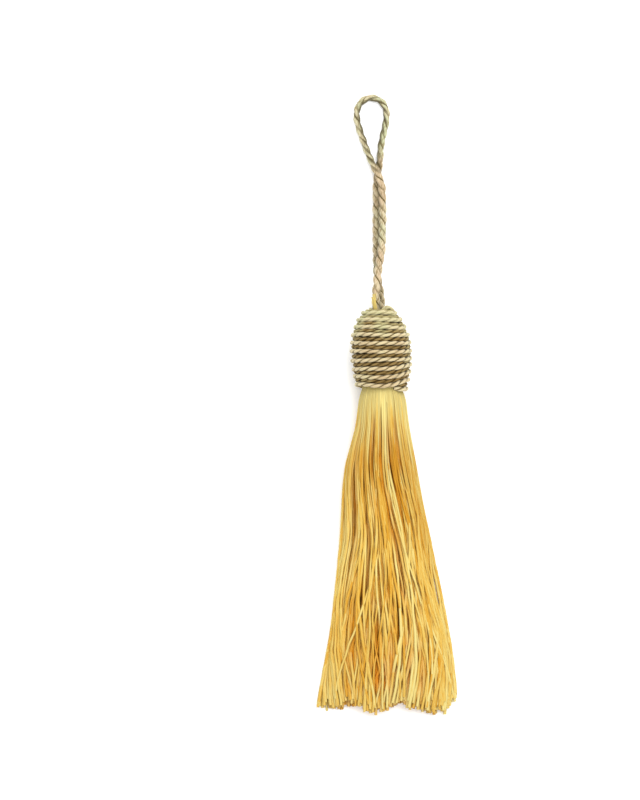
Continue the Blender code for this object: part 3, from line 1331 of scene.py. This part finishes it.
@dataclass
class WoundHead:
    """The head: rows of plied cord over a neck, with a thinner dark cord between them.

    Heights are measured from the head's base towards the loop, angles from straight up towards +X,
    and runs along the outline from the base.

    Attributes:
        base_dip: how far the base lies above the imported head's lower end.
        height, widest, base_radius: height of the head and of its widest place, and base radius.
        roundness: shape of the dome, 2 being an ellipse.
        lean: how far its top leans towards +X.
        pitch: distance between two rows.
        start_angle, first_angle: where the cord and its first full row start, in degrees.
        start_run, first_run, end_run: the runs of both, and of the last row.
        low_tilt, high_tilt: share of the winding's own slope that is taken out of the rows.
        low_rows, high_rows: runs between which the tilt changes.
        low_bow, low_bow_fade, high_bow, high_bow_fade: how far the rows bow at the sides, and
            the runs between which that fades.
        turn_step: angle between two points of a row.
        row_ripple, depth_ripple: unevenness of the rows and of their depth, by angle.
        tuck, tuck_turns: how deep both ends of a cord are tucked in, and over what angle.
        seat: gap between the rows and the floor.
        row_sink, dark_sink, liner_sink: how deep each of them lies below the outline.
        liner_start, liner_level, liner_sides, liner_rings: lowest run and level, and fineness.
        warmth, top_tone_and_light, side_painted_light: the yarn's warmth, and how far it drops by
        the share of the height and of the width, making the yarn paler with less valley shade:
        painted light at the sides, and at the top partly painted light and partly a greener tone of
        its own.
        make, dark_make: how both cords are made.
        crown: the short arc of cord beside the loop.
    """

    base_dip: float = 0.3
    height: float = 24.8
    widest: float = 11.5
    base_radius: float = 7.3
    roundness: float = 1.88
    lean: float = -1.0
    pitch: float = 2.44
    start_angle: float = 38.0
    first_angle: float = 327.0
    start_run: float = 0.15
    first_run: float = 1.0
    end_run: float = 24.9
    low_rows: float = 6.0
    high_rows: float = 12.0
    low_tilt: float = -0.25
    high_tilt: float = 1.4
    low_bow: float = 0.75
    low_bow_fade: Span = (2.0, 9.0)
    high_bow: float = 0.40
    high_bow_fade: Span = (8.0, 20.0)
    turn_step: float = 0.06
    row_ripple: Ripple = (0.13, 1.4, 7.0, 4)
    depth_ripple: Ripple = (0.05, 1.0, 5.0, 3)
    tuck: float = 1.2
    tuck_turns: Span = (0.35, 0.9)
    seat: float = 0.05
    row_sink: float = 0.73
    dark_sink: float = 1.12
    liner_sink: float = 1.75
    liner_start: float = 1.6
    liner_level: float = 0.6
    liner_sides: int = 40
    liner_rings: int = 28
    warmth: float = 0.80
    top_tone_and_light: Rise = (-0.65, 0.42, 0.9)
    side_painted_light: Rise = (-0.34, 0.5, 0.95)
    make: CordMake = CordMake(
        ply_offset=0.35,
        ply_radius=0.43,
        squeeze=0.55,
        groove_offset=0.48,
        groove_radius=0.15,
        lay=5.3,
        wobble=0.2,
    )
    dark_make: CordMake = CordMake(
        ply_offset=0.30, ply_radius=0.36, squeeze=0.8, groove_offset=0.42, lay=5.0, wobble=0.45
    )
    crown: tuple[Place, ...] = (
        # x, y, z
        (-1.4, 55.2, 9.9),
        (-0.6, 56.1, 10.4),
        (0.4, 56.4, 10.0),
        (1.3, 55.7, 9.3),
        (1.9, 54.7, 8.6),
    )
    seed: int = 11

    def __post_init__(self) -> None:
        """Take the head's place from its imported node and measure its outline."""
        low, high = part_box("head")
        self.radius = (high.x - low.x) / MM / 2.0
        self.base_y = low.y / MM + self.base_dip
        self.axis_z = high.z / MM - self.radius
        self.axis_x = (low.x + high.x) / MM / 2.0 - self.lean * (self.widest / self.height) ** 2
        heights = np.linspace(-0.5, self.height - 0.05, 900)
        radii = np.array([self.radius_at(value) for value in heights])
        runs = np.hypot(np.diff(heights), np.diff(radii))
        lengths = np.concatenate([[0.0], np.cumsum(runs)])
        self.outline = (lengths - np.interp(0.0, heights, lengths), heights, radii)

    def radius_at(self, height: float) -> float:
        """Find the outer radius over the crests of the rows.

        Args:
            height: height above the base.

        Returns:
            The radius.
        """
        if height >= self.widest:
            rise = (height - self.widest) / (self.height - self.widest)
            return self.radius * max(1.0 - rise**self.roundness, 0.0) ** (1.0 / self.roundness)
        drop = 1.0 - height / self.widest
        return self.radius - (self.radius - self.base_radius) * drop * drop

    def sunk(self, run: Points, sink: Points | float) -> tuple[Points, Points]:
        """Find places below the outline.

        Args:
            run: distance along the outline from the base.
            sink: depth below the outline.

        Returns:
            Heights and radii.
        """
        lengths, heights, radii = self.outline
        height = np.interp(run, lengths, heights)
        radius = np.interp(run, lengths, radii)
        ahead = np.interp(run + 0.05, lengths, heights) - np.interp(run - 0.05, lengths, heights)
        out = np.interp(run + 0.05, lengths, radii) - np.interp(run - 0.05, lengths, radii)
        size = np.hypot(ahead, out)
        return height + sink * out / size, radius - sink * ahead / size

    def place(self, height: Points, radius: Points, angle: Points) -> Points:
        """Turn heights, radii and angles into points.

        Args:
            height: height above the base.
            radius: distance from the axis.
            angle: angle round the axis, in radians.

        Returns:
            Points in millimetres.
        """
        lean = self.lean * np.sign(height) * (height / self.height) ** 2
        x = self.axis_x + lean + radius * np.sin(angle)
        z = self.axis_z + radius * np.cos(angle)
        return np.stack([x, self.base_y + height, z], axis=1)

    def wind(self, lines: Lines, shift: float, sink: float, least_z: float) -> None:
        """Lay one line along the rows, from the base to the top.

        Args:
            lines: where to add the line.
            shift: how far the line lies beside the rows, in rows.
            sink: depth of the line below the outline.
            least_z: lowest level of the line.
        """
        rng = np.random.default_rng(self.seed)
        start, first = math.radians(self.start_angle), math.radians(self.first_angle)
        turns = (self.end_run - self.first_run) / self.pitch
        angle = np.arange(start, first + turns * FULL_TURN, self.turn_step)
        run = np.where(
            angle < first,
            self.start_run + (self.first_run - self.start_run) * (angle - start) / (first - start),
            self.first_run + self.pitch * (angle - first) / FULL_TURN,
        )
        higher = ease(run, self.low_rows, self.high_rows)
        tilt = self.low_tilt + (self.high_tilt - self.low_tilt) * higher
        bow = self.low_bow * (1.0 - ease(run, *self.low_bow_fade))
        bow = bow + self.high_bow * (1.0 - ease(run, *self.high_bow_fade))
        skew = bow * np.sin(angle) ** 2 - tilt * self.pitch / FULL_TURN * np.sin(angle)
        run = run + skew * ease(angle, start, first)
        run = run + shift * self.pitch + waves(rng, angle, self.row_ripple)
        run = np.minimum(run, self.end_run + 0.3)
        depth = sink + waves(rng, angle, self.depth_ripple)
        tuck = np.maximum(1.0 - (angle - start) / self.tuck_turns[0], 0.0)
        tuck = tuck + np.maximum(1.0 - (angle[-1] - angle) / self.tuck_turns[1], 0.0)
        depth = depth + self.tuck * tuck**2
        height, radius = self.sunk(run, depth)
        line = self.place(height, radius, angle)
        outer = self.place(*self.sunk(run, depth - 0.2), angle)
        out = (outer - line) / np.linalg.norm(outer - line, axis=1)[:, None]
        line[:, 2] = np.maximum(line[:, 2], least_z)
        # painted light: paler yarn with less valley shade at the head's sides, and partly at its
        # top
        warmth = self.warmth + rises(height / self.height, (self.top_tone_and_light,))
        warmth = np.maximum(warmth + rises(np.abs(np.sin(angle)), (self.side_painted_light,)), 0.0)
        lines.add(line, out=out, lee=np.zeros_like(out), swell=1.0, warmth=warmth)

    def knot(self, lines: Lines) -> None:
        """Lay the short arc of cord that stands out of the crown beside the loop.

        Args:
            lines: where to add it.
        """
        line = even_line(smooth_line(np.array(self.crown), 12), 0.5)
        out = np.tile(UPWARDS, (len(line), 1))
        lines.add(line, out=out, lee=np.zeros_like(out), swell=0.95, warmth=0.2)

    def liner(self, material: bpy.types.Material) -> bpy.types.Object:
        """Make the closed dark form below the rows.

        Args:
            material: its finish.

        Returns:
            The liner.
        """
        sides = self.liner_sides
        run = np.linspace(self.liner_start, self.end_run + 0.2, self.liner_rings)
        angle = np.arange(sides) * FULL_TURN / sides
        rings = []
        for height, radius in zip(*self.sunk(run, self.liner_sink)):
            rings.append(self.place(np.full(sides, height), np.full(sides, radius), angle))
        corners = np.vstack(rings)
        corners[:, 2] = np.maximum(corners[:, 2], self.liner_level)
        faces = []
        for ring in range(len(run) - 1):
            for i in range(sides):
                j = (i + 1) % sides
                low, high = ring * sides, (ring + 1) * sides
                faces.append((low + i, low + j, high + j, high + i))
        faces.append(tuple(range(sides))[::-1])
        faces.append(tuple(range(len(corners) - sides, len(corners))))
        mesh = bpy.data.meshes.new("head_liner")
        mesh.from_pydata((corners * MM).tolist(), [], faces)
        mesh.shade_smooth()
        mesh.materials.append(material)
        piece = bpy.data.objects.new("head_liner", mesh)
        bpy.context.scene.collection.objects.link(piece)
        return piece

    def build(
        self,
        sweep: PlySweep,
        light: bpy.types.Material,
        dark: bpy.types.Material,
        liner: bpy.types.Material,
    ) -> list[bpy.types.Object]:
        """Wind the head.

        Args:
            sweep: the tree that twists the plies.
            light: finish of the rows.
            dark: finish of the cord between the rows.
            liner: finish of the form below them.

        Returns:
            The pieces of the head.
        """
        least = self.make.diameter / 2.0 + self.seat
        rows, between = Lines(), Lines()
        self.wind(rows, 0.0, self.row_sink, least)
        self.knot(rows)
        self.wind(between, 0.5, self.dark_sink, least)
        pieces = [
            self.make.spin(sweep, "head_rows", rows, light, seed=0.0),
            self.dark_make.spin(sweep, "head_dark_rows", between, dark, seed=5.0),
            self.liner(liner),
        ]
        for piece in pieces:
            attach(piece, "root")
            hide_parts("head")
        return pieces


# --------------------------------------------------------------------------------------------------
# Skirt
# --------------------------------------------------------------------------------------------------


@dataclass(frozen=True)
class SilkShade:
    """How the dye and its painted shade change along the threads, from 0 in the head to 1 at their
    tips.

    Rises and bands are added to the start beside them. A side is how far a place lies to the right
    of the skirt's middle: half way down the right side gets painted shade, and the left side
    painted light.

    Attributes:
        own: how much of a thread's tint is its own, the rest being its lock's.
        contrast_start, contrast: how strongly the threads differ.
        tint_start, tint, neck_shade_tint: how pale they are, with a painted shade in a band below
            the head.
        streaks: how much the tint changes along one thread.
        side_line: place across where the sides meet.
        side_place, side_width: where along the length the sides differ most, and how far from it.
        side_shade_and_light, right_side_shade: how large the painted shade and light of the sides
            are, and how much more shade the right side gets.
        loosening: where along the length the bundle comes loose.
        skin, shadow: how far below the skin a thread starts to get painted shade, and over what
            distance it grows.
        depth: how that painted shade of the deep threads changes along the length.
        apart_start, apart, apart_tip: how far the threads lie apart, which sets the painted shade
            on their flanks.
        bind_end: earliest and latest place where a thread is free of its neighbours.
        neck_shade_band, dull: painted shade in a band below the head, and a darkening towards the
            tips.
    """

    own: float = 0.48
    contrast_start: float = 0.3
    contrast: tuple[Rise, ...] = ((1.2, 0.03, 0.13), (-0.6, 0.25, 0.5), (0.4, 0.7, 0.95))
    tint_start: float = 0.96
    tint: tuple[Rise, ...] = (
        (-0.42, 0.0, 0.25),
        (0.14, 0.03, 0.13),
        (-0.14, 0.16, 0.3),
        (0.22, 0.8, 1.0),
    )
    neck_shade_tint: Band = (-0.08, 0.28, 0.1)
    streaks: Ripple = (0.12, 0.08, 0.4, 2)
    side_line: float = 0.1
    side_place: float = 0.46
    side_width: float = 0.19
    side_shade_and_light: float = -0.26
    right_side_shade: float = 0.2
    loosening: Span = (0.02, 0.16)
    skin: float = 0.45
    shadow: float = 1.5
    depth: tuple[Rise, ...] = ((-0.25, 0.35, 0.5), (0.25, 0.65, 0.85), (-0.5, 0.92, 1.0))
    apart_start: float = 0.18
    apart: tuple[Rise, ...] = ((0.82, 0.02, 0.16), (-0.22, 0.4, 0.6))
    apart_tip: Rise = (-0.8, 0.97, 1.0)
    bind_end: Span = (0.05, 0.30)
    neck_shade_band: Band = (0.17, 0.26, 0.13)
    dull: tuple[Rise, ...] = ((0.11, 0.6, 0.9),)

    def values(
        self, rng: np.random.Generator, t: Points, across: Points, below: Points, dye: float
    ) -> dict[str, Points]:
        """Work out what the silk's finish reads on one thread.

        Args:
            rng: source of its own tint.
            t: share of its length at each point.
            across: place across the skirt, from -1 to 1.
            below: how far it lies below the skin of the bundle, in millimetres.
            dye: how pale its lock is, from 0 to 1.

        Returns:
            Its attributes by name.
        """
        own = self.own * rng.beta(0.8, 0.8) + (1.0 - self.own) * dye - 0.5
        # a painted shade makes the threads deeper in a band below the head
        tint = self.tint_start + rises(t, self.tint) + band(t, self.neck_shade_tint)
        tint = tint + own * (self.contrast_start + rises(t, self.contrast))
        tint = tint + waves(rng, t, self.streaks)
        # painted shade on the right side half way down, and painted light on the left
        side = (across - self.side_line) * bump(t, self.side_place, self.side_width)
        # painted shade of threads that lie deep in the bundle
        deep = np.clip((below - self.skin) / self.shadow, 0.0, 1.0) * ease(t, *self.loosening)
        apart = self.apart_start + rises(t, self.apart)
        # painted shade below the head, and a darkening towards the tips
        dull = band(t, self.neck_shade_band) + rises(t, self.dull)
        return {
            "tint": tint + self.side_shade_and_light * side,
            "depth": deep * (1.0 + rises(t, self.depth)),
            "apart": apart * (1.0 + rises(t, (self.apart_tip,))),
            "bind": 1.0 - ease(t, self.loosening[0], rng.uniform(*self.bind_end)),
            "dull": dull + self.right_side_shade * np.maximum(side, 0.0),
        }


@dataclass
class Skirt:
    """The skirt: silk threads that leave the head as a tight bundle and fan out to a blunt hem.

    Places across run from -1 at the left edge to 1 at the right edge, and levels from 0 at the back
    to 1 in front. Both are shares of the outer form that sections holds. Shares of the length run
    from 0 in the head to 1 at the tips.

    Attributes:
        threads, locks: how many there are.
        layers: names of the pieces, from the back to the front.
        points, sides: points on a thread, and sides of it.
        crowding: 0.5 fills the section evenly, and less puts more threads near its skin.
        thread_jitter, lock_jitter: unevenness of the places of the threads and the locks.
        thickness, thickness_ripple: thinnest and thickest thread, and unevenness of each.
        bound, tip_swell: share of its thickness where it is bound, and what its tip adds.
        start_y: where they start in y, inside the head.
        edge, overhang: the outermost place of a thread in the head, and below it.
        lock_sway, lock_slant: how far a lock snakes, and how far it goes to one side.
        lean: how far the locks of the back and those in front lean apart.
        lock_lift: how far a lock rises and dips.
        valley: how far the sides of a lock dip below its ridge, near the head and more at the hem.
        lock_half: half of a lock's width, for the valley.
        gather, gather_place, gather_width: how much a lock draws together, where and how far
            from there.
        lock_spread: least and most width of a lock at the hem, as a share of that in the head.
        drift, splay, quiver: how far a thread leaves its lock, in all, at its tip and in waves.
        thread_lift, thread_level: how far a thread rises and dips, and how far it leaves its level.
        press: how far the threads are pressed to the skin where they leave the head.
        loose_share: share of the threads that lie past each side of the outer form.
        stray_share, stray_reach, stray_lift: share of threads that stray, how far, and how high.
        crimp: its waves, in millimetres.
        lock_tip, thread_tip: unevenness of the tips, by lock and by thread.
        fineness, smoothing: steps in which the form is read, and over how many it is smoothed.
        shade: how the dye and its painted shade and light change along the threads.
        sections: the outer form.
        hem: where the threads end.
    """

    threads: int = 800
    locks: int = 46
    layers: tuple[str, ...] = ("skirt_back", "skirt_under", "skirt_middle", "skirt_front")
    points: int = 60
    sides: int = 6
    crowding: float = 0.42
    thread_jitter: float = 0.012
    lock_jitter: float = 0.04
    thickness: Span = (0.50, 0.90)
    thickness_ripple: Ripple = (0.08, 0.1, 0.4, 2)
    bound: float = 0.74
    tip_swell: float = 0.15
    start_y: float = 36.5
    edge: float = 0.995
    overhang: float = 1.02
    lock_sway: Ripple = (0.12, 0.7, 2.0, 2)
    lock_slant: float = 0.14
    lean: float = 0.22
    lock_lift: Ripple = (0.09, 0.5, 1.4, 2)
    valley: Span = (0.15, 0.09)
    lock_half: float = 0.12
    gather: float = 0.35
    gather_place: Span = (0.45, 0.8)
    gather_width: float = 0.25
    lock_spread: Span = (0.55, 1.05)
    drift: float = 0.12
    splay: float = 0.085
    quiver: Ripple = (0.012, 0.25, 0.8, 3)
    thread_lift: Ripple = (0.07, 0.12, 0.45, 3)
    thread_level: float = 0.07
    press: float = 0.04
    loose_share: float = 0.012
    stray_share: float = 0.24
    stray_reach: float = 0.34
    stray_lift: float = 0.35
    crimp: Ripple = (0.06, 6.0, 11.0, 2)
    lock_tip: float = 0.7
    thread_tip: float = 0.6
    fineness: int = 400
    smoothing: int = 11
    shade: SilkShade = SilkShade()
    seed: int = 5
    sections: tuple[tuple[float, float, float, float, float], ...] = (
        # y, left, right, top, bottom
        (36.5, -6.7, 3.7, 13.8, 3.4),
        (33.2, -6.9, 4.0, 14.0, 3.2),
        (31.8, -7.7, 4.9, 14.7, 2.4),
        (29.8, -8.0, 5.3, 14.9, 1.9),
        (27.0, -8.3, 5.6, 14.8, 1.5),
        (23.0, -8.8, 6.1, 14.2, 0.7),
        (18.0, -10.1, 7.0, 13.3, -0.5),
        (12.5, -11.6, 8.0, 12.3, -1.8),
        (6.0, -12.4, 9.1, 11.4, -2.9),
        (-1.0, -12.7, 10.4, 10.7, -3.8),
        (-8.0, -13.0, 11.9, 10.1, -4.5),
        (-15.0, -13.6, 13.3, 9.6, -5.0),
        (-22.0, -14.3, 14.8, 9.2, -5.4),
        (-29.0, -15.0, 16.1, 8.8, -5.8),
        (-36.0, -15.9, 17.4, 8.4, -6.0),
        (-42.5, -17.1, 18.3, 7.9, -6.0),
        (-48.0, -18.1, 18.9, 7.3, -5.6),
        (-52.0, -18.8, 19.2, 6.6, -5.2),
        (-55.0, -19.3, 19.3, 5.8, -4.8),
        (-59.0, -19.6, 19.6, 4.6, -4.2),
    )
    hem: tuple[tuple[float, float], ...] = (
        # x, y
        (-19.3, -53.8),
        (-15.5, -54.9),
        (-11.8, -53.8),
        (-8.3, -54.3),
        (-4.8, -56.2),
        (-1.6, -55.6),
        (1.4, -54.9),
        (3.6, -53.3),
        (6.4, -54.4),
        (9.2, -55.3),
        (13.4, -55.9),
        (16.8, -55.2),
        (19.3, -52.6),
    )

    def envelope(self, y: Points) -> list[Points]:
        """Read the outer form.

        Args:
            y: where to read it.

        Returns:
            Left and right edge, top and bottom at each y.
        """
        table = np.array(self.sections)[::-1]
        fine = np.linspace(table[0, 0], table[-1, 0], self.fineness)
        kernel = np.hanning(2 * self.smoothing + 1)
        kernel /= kernel.sum()
        values = []
        for column in range(1, 5):
            rough = np.interp(fine, table[:, 0], table[:, column])
            padded = np.pad(rough, self.smoothing, mode="reflect", reflect_type="odd")
            values.append(np.interp(y, fine, np.convolve(padded, kernel, mode="valid")))
        return values

    def spread(self, rng: np.random.Generator, count: int, jitter: float) -> tuple[Points, Points]:
        """Spread places over the round section of the bundle, closer together near its skin.

        Args:
            rng: source of the unevenness.
            count: number of places.
            jitter: size of the unevenness.

        Returns:
            Places across and up, from -1 to 1.
        """
        number = np.arange(count)
        out = ((number + 0.5) / count) ** self.crowding
        turn = number * GOLDEN_ANGLE + 1.0
        across = out * np.cos(turn) + rng.normal(0.0, jitter, count)
        up = out * np.sin(turn) + rng.normal(0.0, jitter, count)
        return np.clip(across, -self.edge, self.edge), np.clip(up, -1.0, 1.0)

    def lay(self) -> list[tuple[float, dict]]:
        """Work out every thread.

        Returns:
            (level, thread) for each thread, where the level runs from 0 at the back to 1 in front.
        """
        rng = np.random.default_rng(self.seed)
        across, up = self.spread(rng, self.threads, self.thread_jitter)
        level = np.clip(0.5 + 0.5 * up / np.sqrt(1.0 - across**2), 0.0, 1.0)
        lock_across, lock_up = self.spread(rng, self.locks, self.lock_jitter)
        far = (across[:, None] - lock_across) ** 2 + (up[:, None] - lock_up) ** 2
        member = far.argmin(axis=1)
        t = np.linspace(0.0, 1.0, self.points)
        paths = np.zeros((self.threads, self.points))
        levels = np.zeros_like(paths)
        lengths, dyes = np.zeros(self.threads), np.zeros(self.threads)
        locks = rng.permutation(np.unique(member))
        for lock, dye in zip(locks, np.linspace(0.0, 1.0, len(locks))):
            mates = np.flatnonzero(member == lock)
            lengths[mates] = rng.normal(0.0, self.lock_tip)
            dyes[mates] = dye
            paths[mates], levels[mates] = self.lock(rng, t, across[mates], level[mates])
        left = -np.quantile(paths, self.loose_share, axis=0)
        right = np.quantile(paths, 1.0 - self.loose_share, axis=0)
        paths = paths / np.where(paths < 0.0, left, right)
        paths = np.clip(paths, -self.overhang, self.overhang)
        laid = []
        for i in range(self.threads):
            tip = self.tip(paths[i, -1]) + lengths[i] + rng.normal(0.0, self.thread_tip)
            thread = self.thread(rng, i, t, paths[i], levels[i], tip, dyes[i])
            laid.append((float(level[i]), thread))
        return laid

    def lock(
        self, rng: np.random.Generator, t: Points, across: Points, level: Points
    ) -> tuple[Points, Points]:
        """Work out the paths of the threads of one lock.

        Args:
            rng: source of its lie.
            t: share of the length at each point.
            across: where each thread starts across the skirt, from -1 to 1.
            level: where each thread starts between the back, 0, and the front, 1.

        Returns:
            Each thread's place across the skirt, and its level, at each point.
        """
        middle, core = across.mean(), level.mean()
        slant = self.held(rng.normal(0.0, self.lock_slant), middle)
        sway = waves(rng, t, self.lock_sway) * ease(t, 0.05, 0.6)
        sway = sway + slant * ease(t, 0.05, 1.0)
        lean = math.copysign(self.lean, core - 0.5) * (1.0 - middle * middle)
        sway = sway + lean * ease(t, 0.02, 0.5)
        lift = waves(rng, t, self.lock_lift) * ease(t, 0.1, 0.8)
        close = 1.0 - self.gather * bump(t, rng.uniform(*self.gather_place), self.gather_width)
        close = close + (rng.uniform(*self.lock_spread) - 1.0) * ease(t, 0.35, 1.0)
        ridge = self.valley[0] * ease(t, 0.03, 0.2) + self.valley[1] * ease(t, 0.6, 1.0)
        paths, levels = [], []
        for start, height in zip(across, level):
            own = (start - middle) * close + self.wander(rng, t, start)
            path = middle + own + sway + rng.normal(0.0, self.splay) * ease(t, 0.62, 1.0) ** 2
            lie = core + (height - core) * close + lift
            lie = lie - ridge * np.minimum(np.abs(own) / self.lock_half, 1.3) ** 2
            lie = lie + waves(rng, t, self.thread_lift) * ease(t, 0.08, 0.4)
            lie = lie + rng.normal(0.0, self.thread_level) * ease(t, 0.1, 1.0)
            if rng.uniform() < self.stray_share:
                stray = self.held(rng.uniform(-self.stray_reach, self.stray_reach), start)
                path = path + stray * ease(t, rng.uniform(0.1, 0.5), 1.0)
                lie = lie + rng.uniform(0.0, self.stray_lift) * ease(t, 0.15, 0.6)
            lie = lie + math.copysign(self.press, height - 0.5) * (1.0 - ease(t, 0.05, 0.3))
            paths.append(path)
            levels.append(np.clip(lie, 0.0, 1.0 + 0.04 * ease(t, 0.1, 0.3)))
        return np.array(paths), np.array(levels)

    def held(self, shift: float, across: float) -> float:
        """Hold back a shift that would go past the side of the skirt."""
        return shift * (1.0 - abs(across)) if shift * across > 0.0 else shift

    def wander(self, rng: np.random.Generator, t: Points, across: float) -> Points:
        """Let one thread leave its lock's path a little, but not past the side of the skirt.

        Args:
            rng: source of the path.
            t: share of its length at each point.
            across: where the thread starts across the skirt, from -1 to 1.

        Returns:
            The shift across the skirt at each point.
        """
        shift = self.held(rng.normal(0.0, self.drift), across)
        path = ease(t, rng.uniform(0.0, 0.3), rng.uniform(0.7, 1.3))
        return shift * path + waves(rng, t, self.quiver) * ease(t, 0.08, 0.4)

    def tip(self, across: float) -> float:
        """Place in y of the hem at a place across the skirt, from -1 to 1."""
        table = np.array(self.hem)
        return float(np.interp(across * table[-1, 0], table[:, 0], table[:, 1]))

    def thread(
        self,
        rng: np.random.Generator,
        number: int,
        t: Points,
        across: Points,
        level: Points,
        tip: float,
        dye: float,
    ) -> dict:
        """Place one thread in the outer form.

        Args:
            rng: source of its thickness, tint and crimp.
            number: the thread's number.
            t: share of its length at each point.
            across: place across the skirt, from -1 to 1.
            level: level in the skirt, from 0 to 1.
            tip: where it ends in y.
            dye: how pale its lock is, from 0 to 1.

        Returns:
            Its points and attributes.
        """
        y = self.start_y + (tip - self.start_y) * t
        thick = rng.uniform(*self.thickness)
        bloom = self.bound + (1.0 - self.bound) * ease(t, 0.0, 0.6)
        bloom = bloom + self.tip_swell * ease(t, 0.55, 0.95)
        radius = thick / 2.0 * bloom * (1.0 + waves(rng, t, self.thickness_ripple))
        left, right, top, bottom = self.envelope(y)
        middle, half = (left + right) / 2.0, (right - left) / 2.0 - thick / 2.0
        core, rise = (top + bottom) / 2.0, (top - bottom) / 2.0
        arch = np.sqrt(np.maximum(1.0 - across**2, 0.0))
        ground = np.maximum(core - rise * arch, 0.0) + radius
        roof = np.maximum(core + rise * arch - radius, ground)
        loose = ease(t, 0.15, 0.7)
        x = middle + half * across + loose * waves(rng, y, self.crimp)
        z = ground + (roof - ground) * level + loose * waves(rng, y, self.crimp)
        z = np.maximum(z, radius + 0.02)
        up = (z - core) / rise
        below = (1.0 - np.hypot(across, up)) * rise
        upwards = np.maximum(up, 0.0) / rise + 0.03
        out = np.stack([across / half, np.zeros_like(across), upwards], axis=1)
        out /= np.linalg.norm(out, axis=1)[:, None]
        return {
            "line": np.stack([x, y, z], axis=1),
            "thickness": 2.0 * radius,
            "out": out,
            "strand": float(number),
            "along": self.start_y - y,
            **self.shade.values(rng, t, across, below, dye),
        }

    def build(self, sweep: ThreadSweep, material: bpy.types.Material) -> list[bpy.types.Object]:
        """Make the threads, in layers from the back to the front.

        Args:
            sweep: the tree that makes round threads.
            material: the silk.

        Returns:
            One piece for each layer.
        """
        laid = sorted(self.lay(), key=lambda item: item[0])
        share = math.ceil(len(laid) / len(self.layers))
        pieces = []
        for i, name in enumerate(self.layers):
            lines = Lines()
            for _level, thread in laid[i * share : (i + 1) * share]:
                values = dict(thread)
                lines.add(values.pop("line"), **values)
            girth = math.pi * sum(self.thickness) / 2.0
            piece = sweep.run(name, lines, girth, sides=self.sides, material=material)
            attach(piece, "root")
            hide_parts("skirt")
            pieces.append(piece)
        return pieces


@dataclass
class SilkWisp:
    """A few silk threads that stand out of the top of the head beside the loop.

    Attributes:
        threads, points: number of threads, and of points on each.
        thickness: thinnest and thickest thread.
        start, start_spread: where they leave the head, and how unevenly.
        end, end_spread: where they end, and how unevenly in x, y and z.
        sway, arch: how they wave sideways, and how far they rise in between.
    """

    threads: int = 14
    points: int = 12
    thickness: Span = (0.18, 0.28)
    start: Place = (-3.3, 55.2, 10.1)
    start_spread: float = 0.22
    end: Place = (-3.6, 58.8, 10.5)
    end_spread: Place = (0.30, 0.66, 0.18)
    sway: Ripple = (0.15, 0.5, 1.2, 2)
    arch: float = 0.35
    seed: int = 23

    def build(self, sweep: ThreadSweep, material: bpy.types.Material) -> bpy.types.Object:
        """Make the wisp.

        Args:
            sweep: the tree that makes round threads.
            material: the silk.

        Returns:
            The wisp.
        """
        rng = np.random.default_rng(self.seed)
        lines = Lines()
        t = np.linspace(0.0, 1.0, self.points)
        for i in range(self.threads):
            start = np.array(self.start) + rng.normal(0.0, self.start_spread, 3)
            end = np.array(self.end) + rng.normal(0.0, 1.0, 3) * self.end_spread
            line = start + (end - start) * t[:, None]
            line[:, 0] += waves(rng, t, self.sway) * t
            line[:, 2] += self.arch * np.sin(math.pi * t)
            lines.add(
                line,
                thickness=rng.uniform(*self.thickness),
                tint=0.75,
                depth=0.0,
                apart=0.2,
                bind=0.3,
                dull=0.0,
                out=np.tile(UPWARDS, (len(line), 1)),
                strand=float(i),
                along=t * 5.0,
            )
        piece = sweep.run("silk_wisp", lines, girth=0.7, sides=6, material=material)
        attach(piece, "root")
        return piece


def main() -> None:
    """Dress the tassel."""
    logging.basicConfig(level=logging.INFO, format="%(name)s: %(message)s")
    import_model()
    Studio().build()
    plies = PlySweep()
    round_threads = ThreadSweep()
    silk = SilkFinish().material()
    cord = CordFinish().material()
    dark_cord = DarkCordFinish().material()
    loop_cord = LoopCordFinish().material()
    liner = LinerFinish().material()
    pieces = [HangingLoop().build(plies, loop_cord)]
    pieces += WoundHead().build(plies, cord, dark_cord, liner)
    pieces += Skirt().build(round_threads, silk)
    pieces.append(SilkWisp().build(round_threads, silk))
    for piece in pieces:
        LOG.info("%s: %d faces", piece.name, len(piece.data.polygons))


if __name__ == "__main__":
    main()
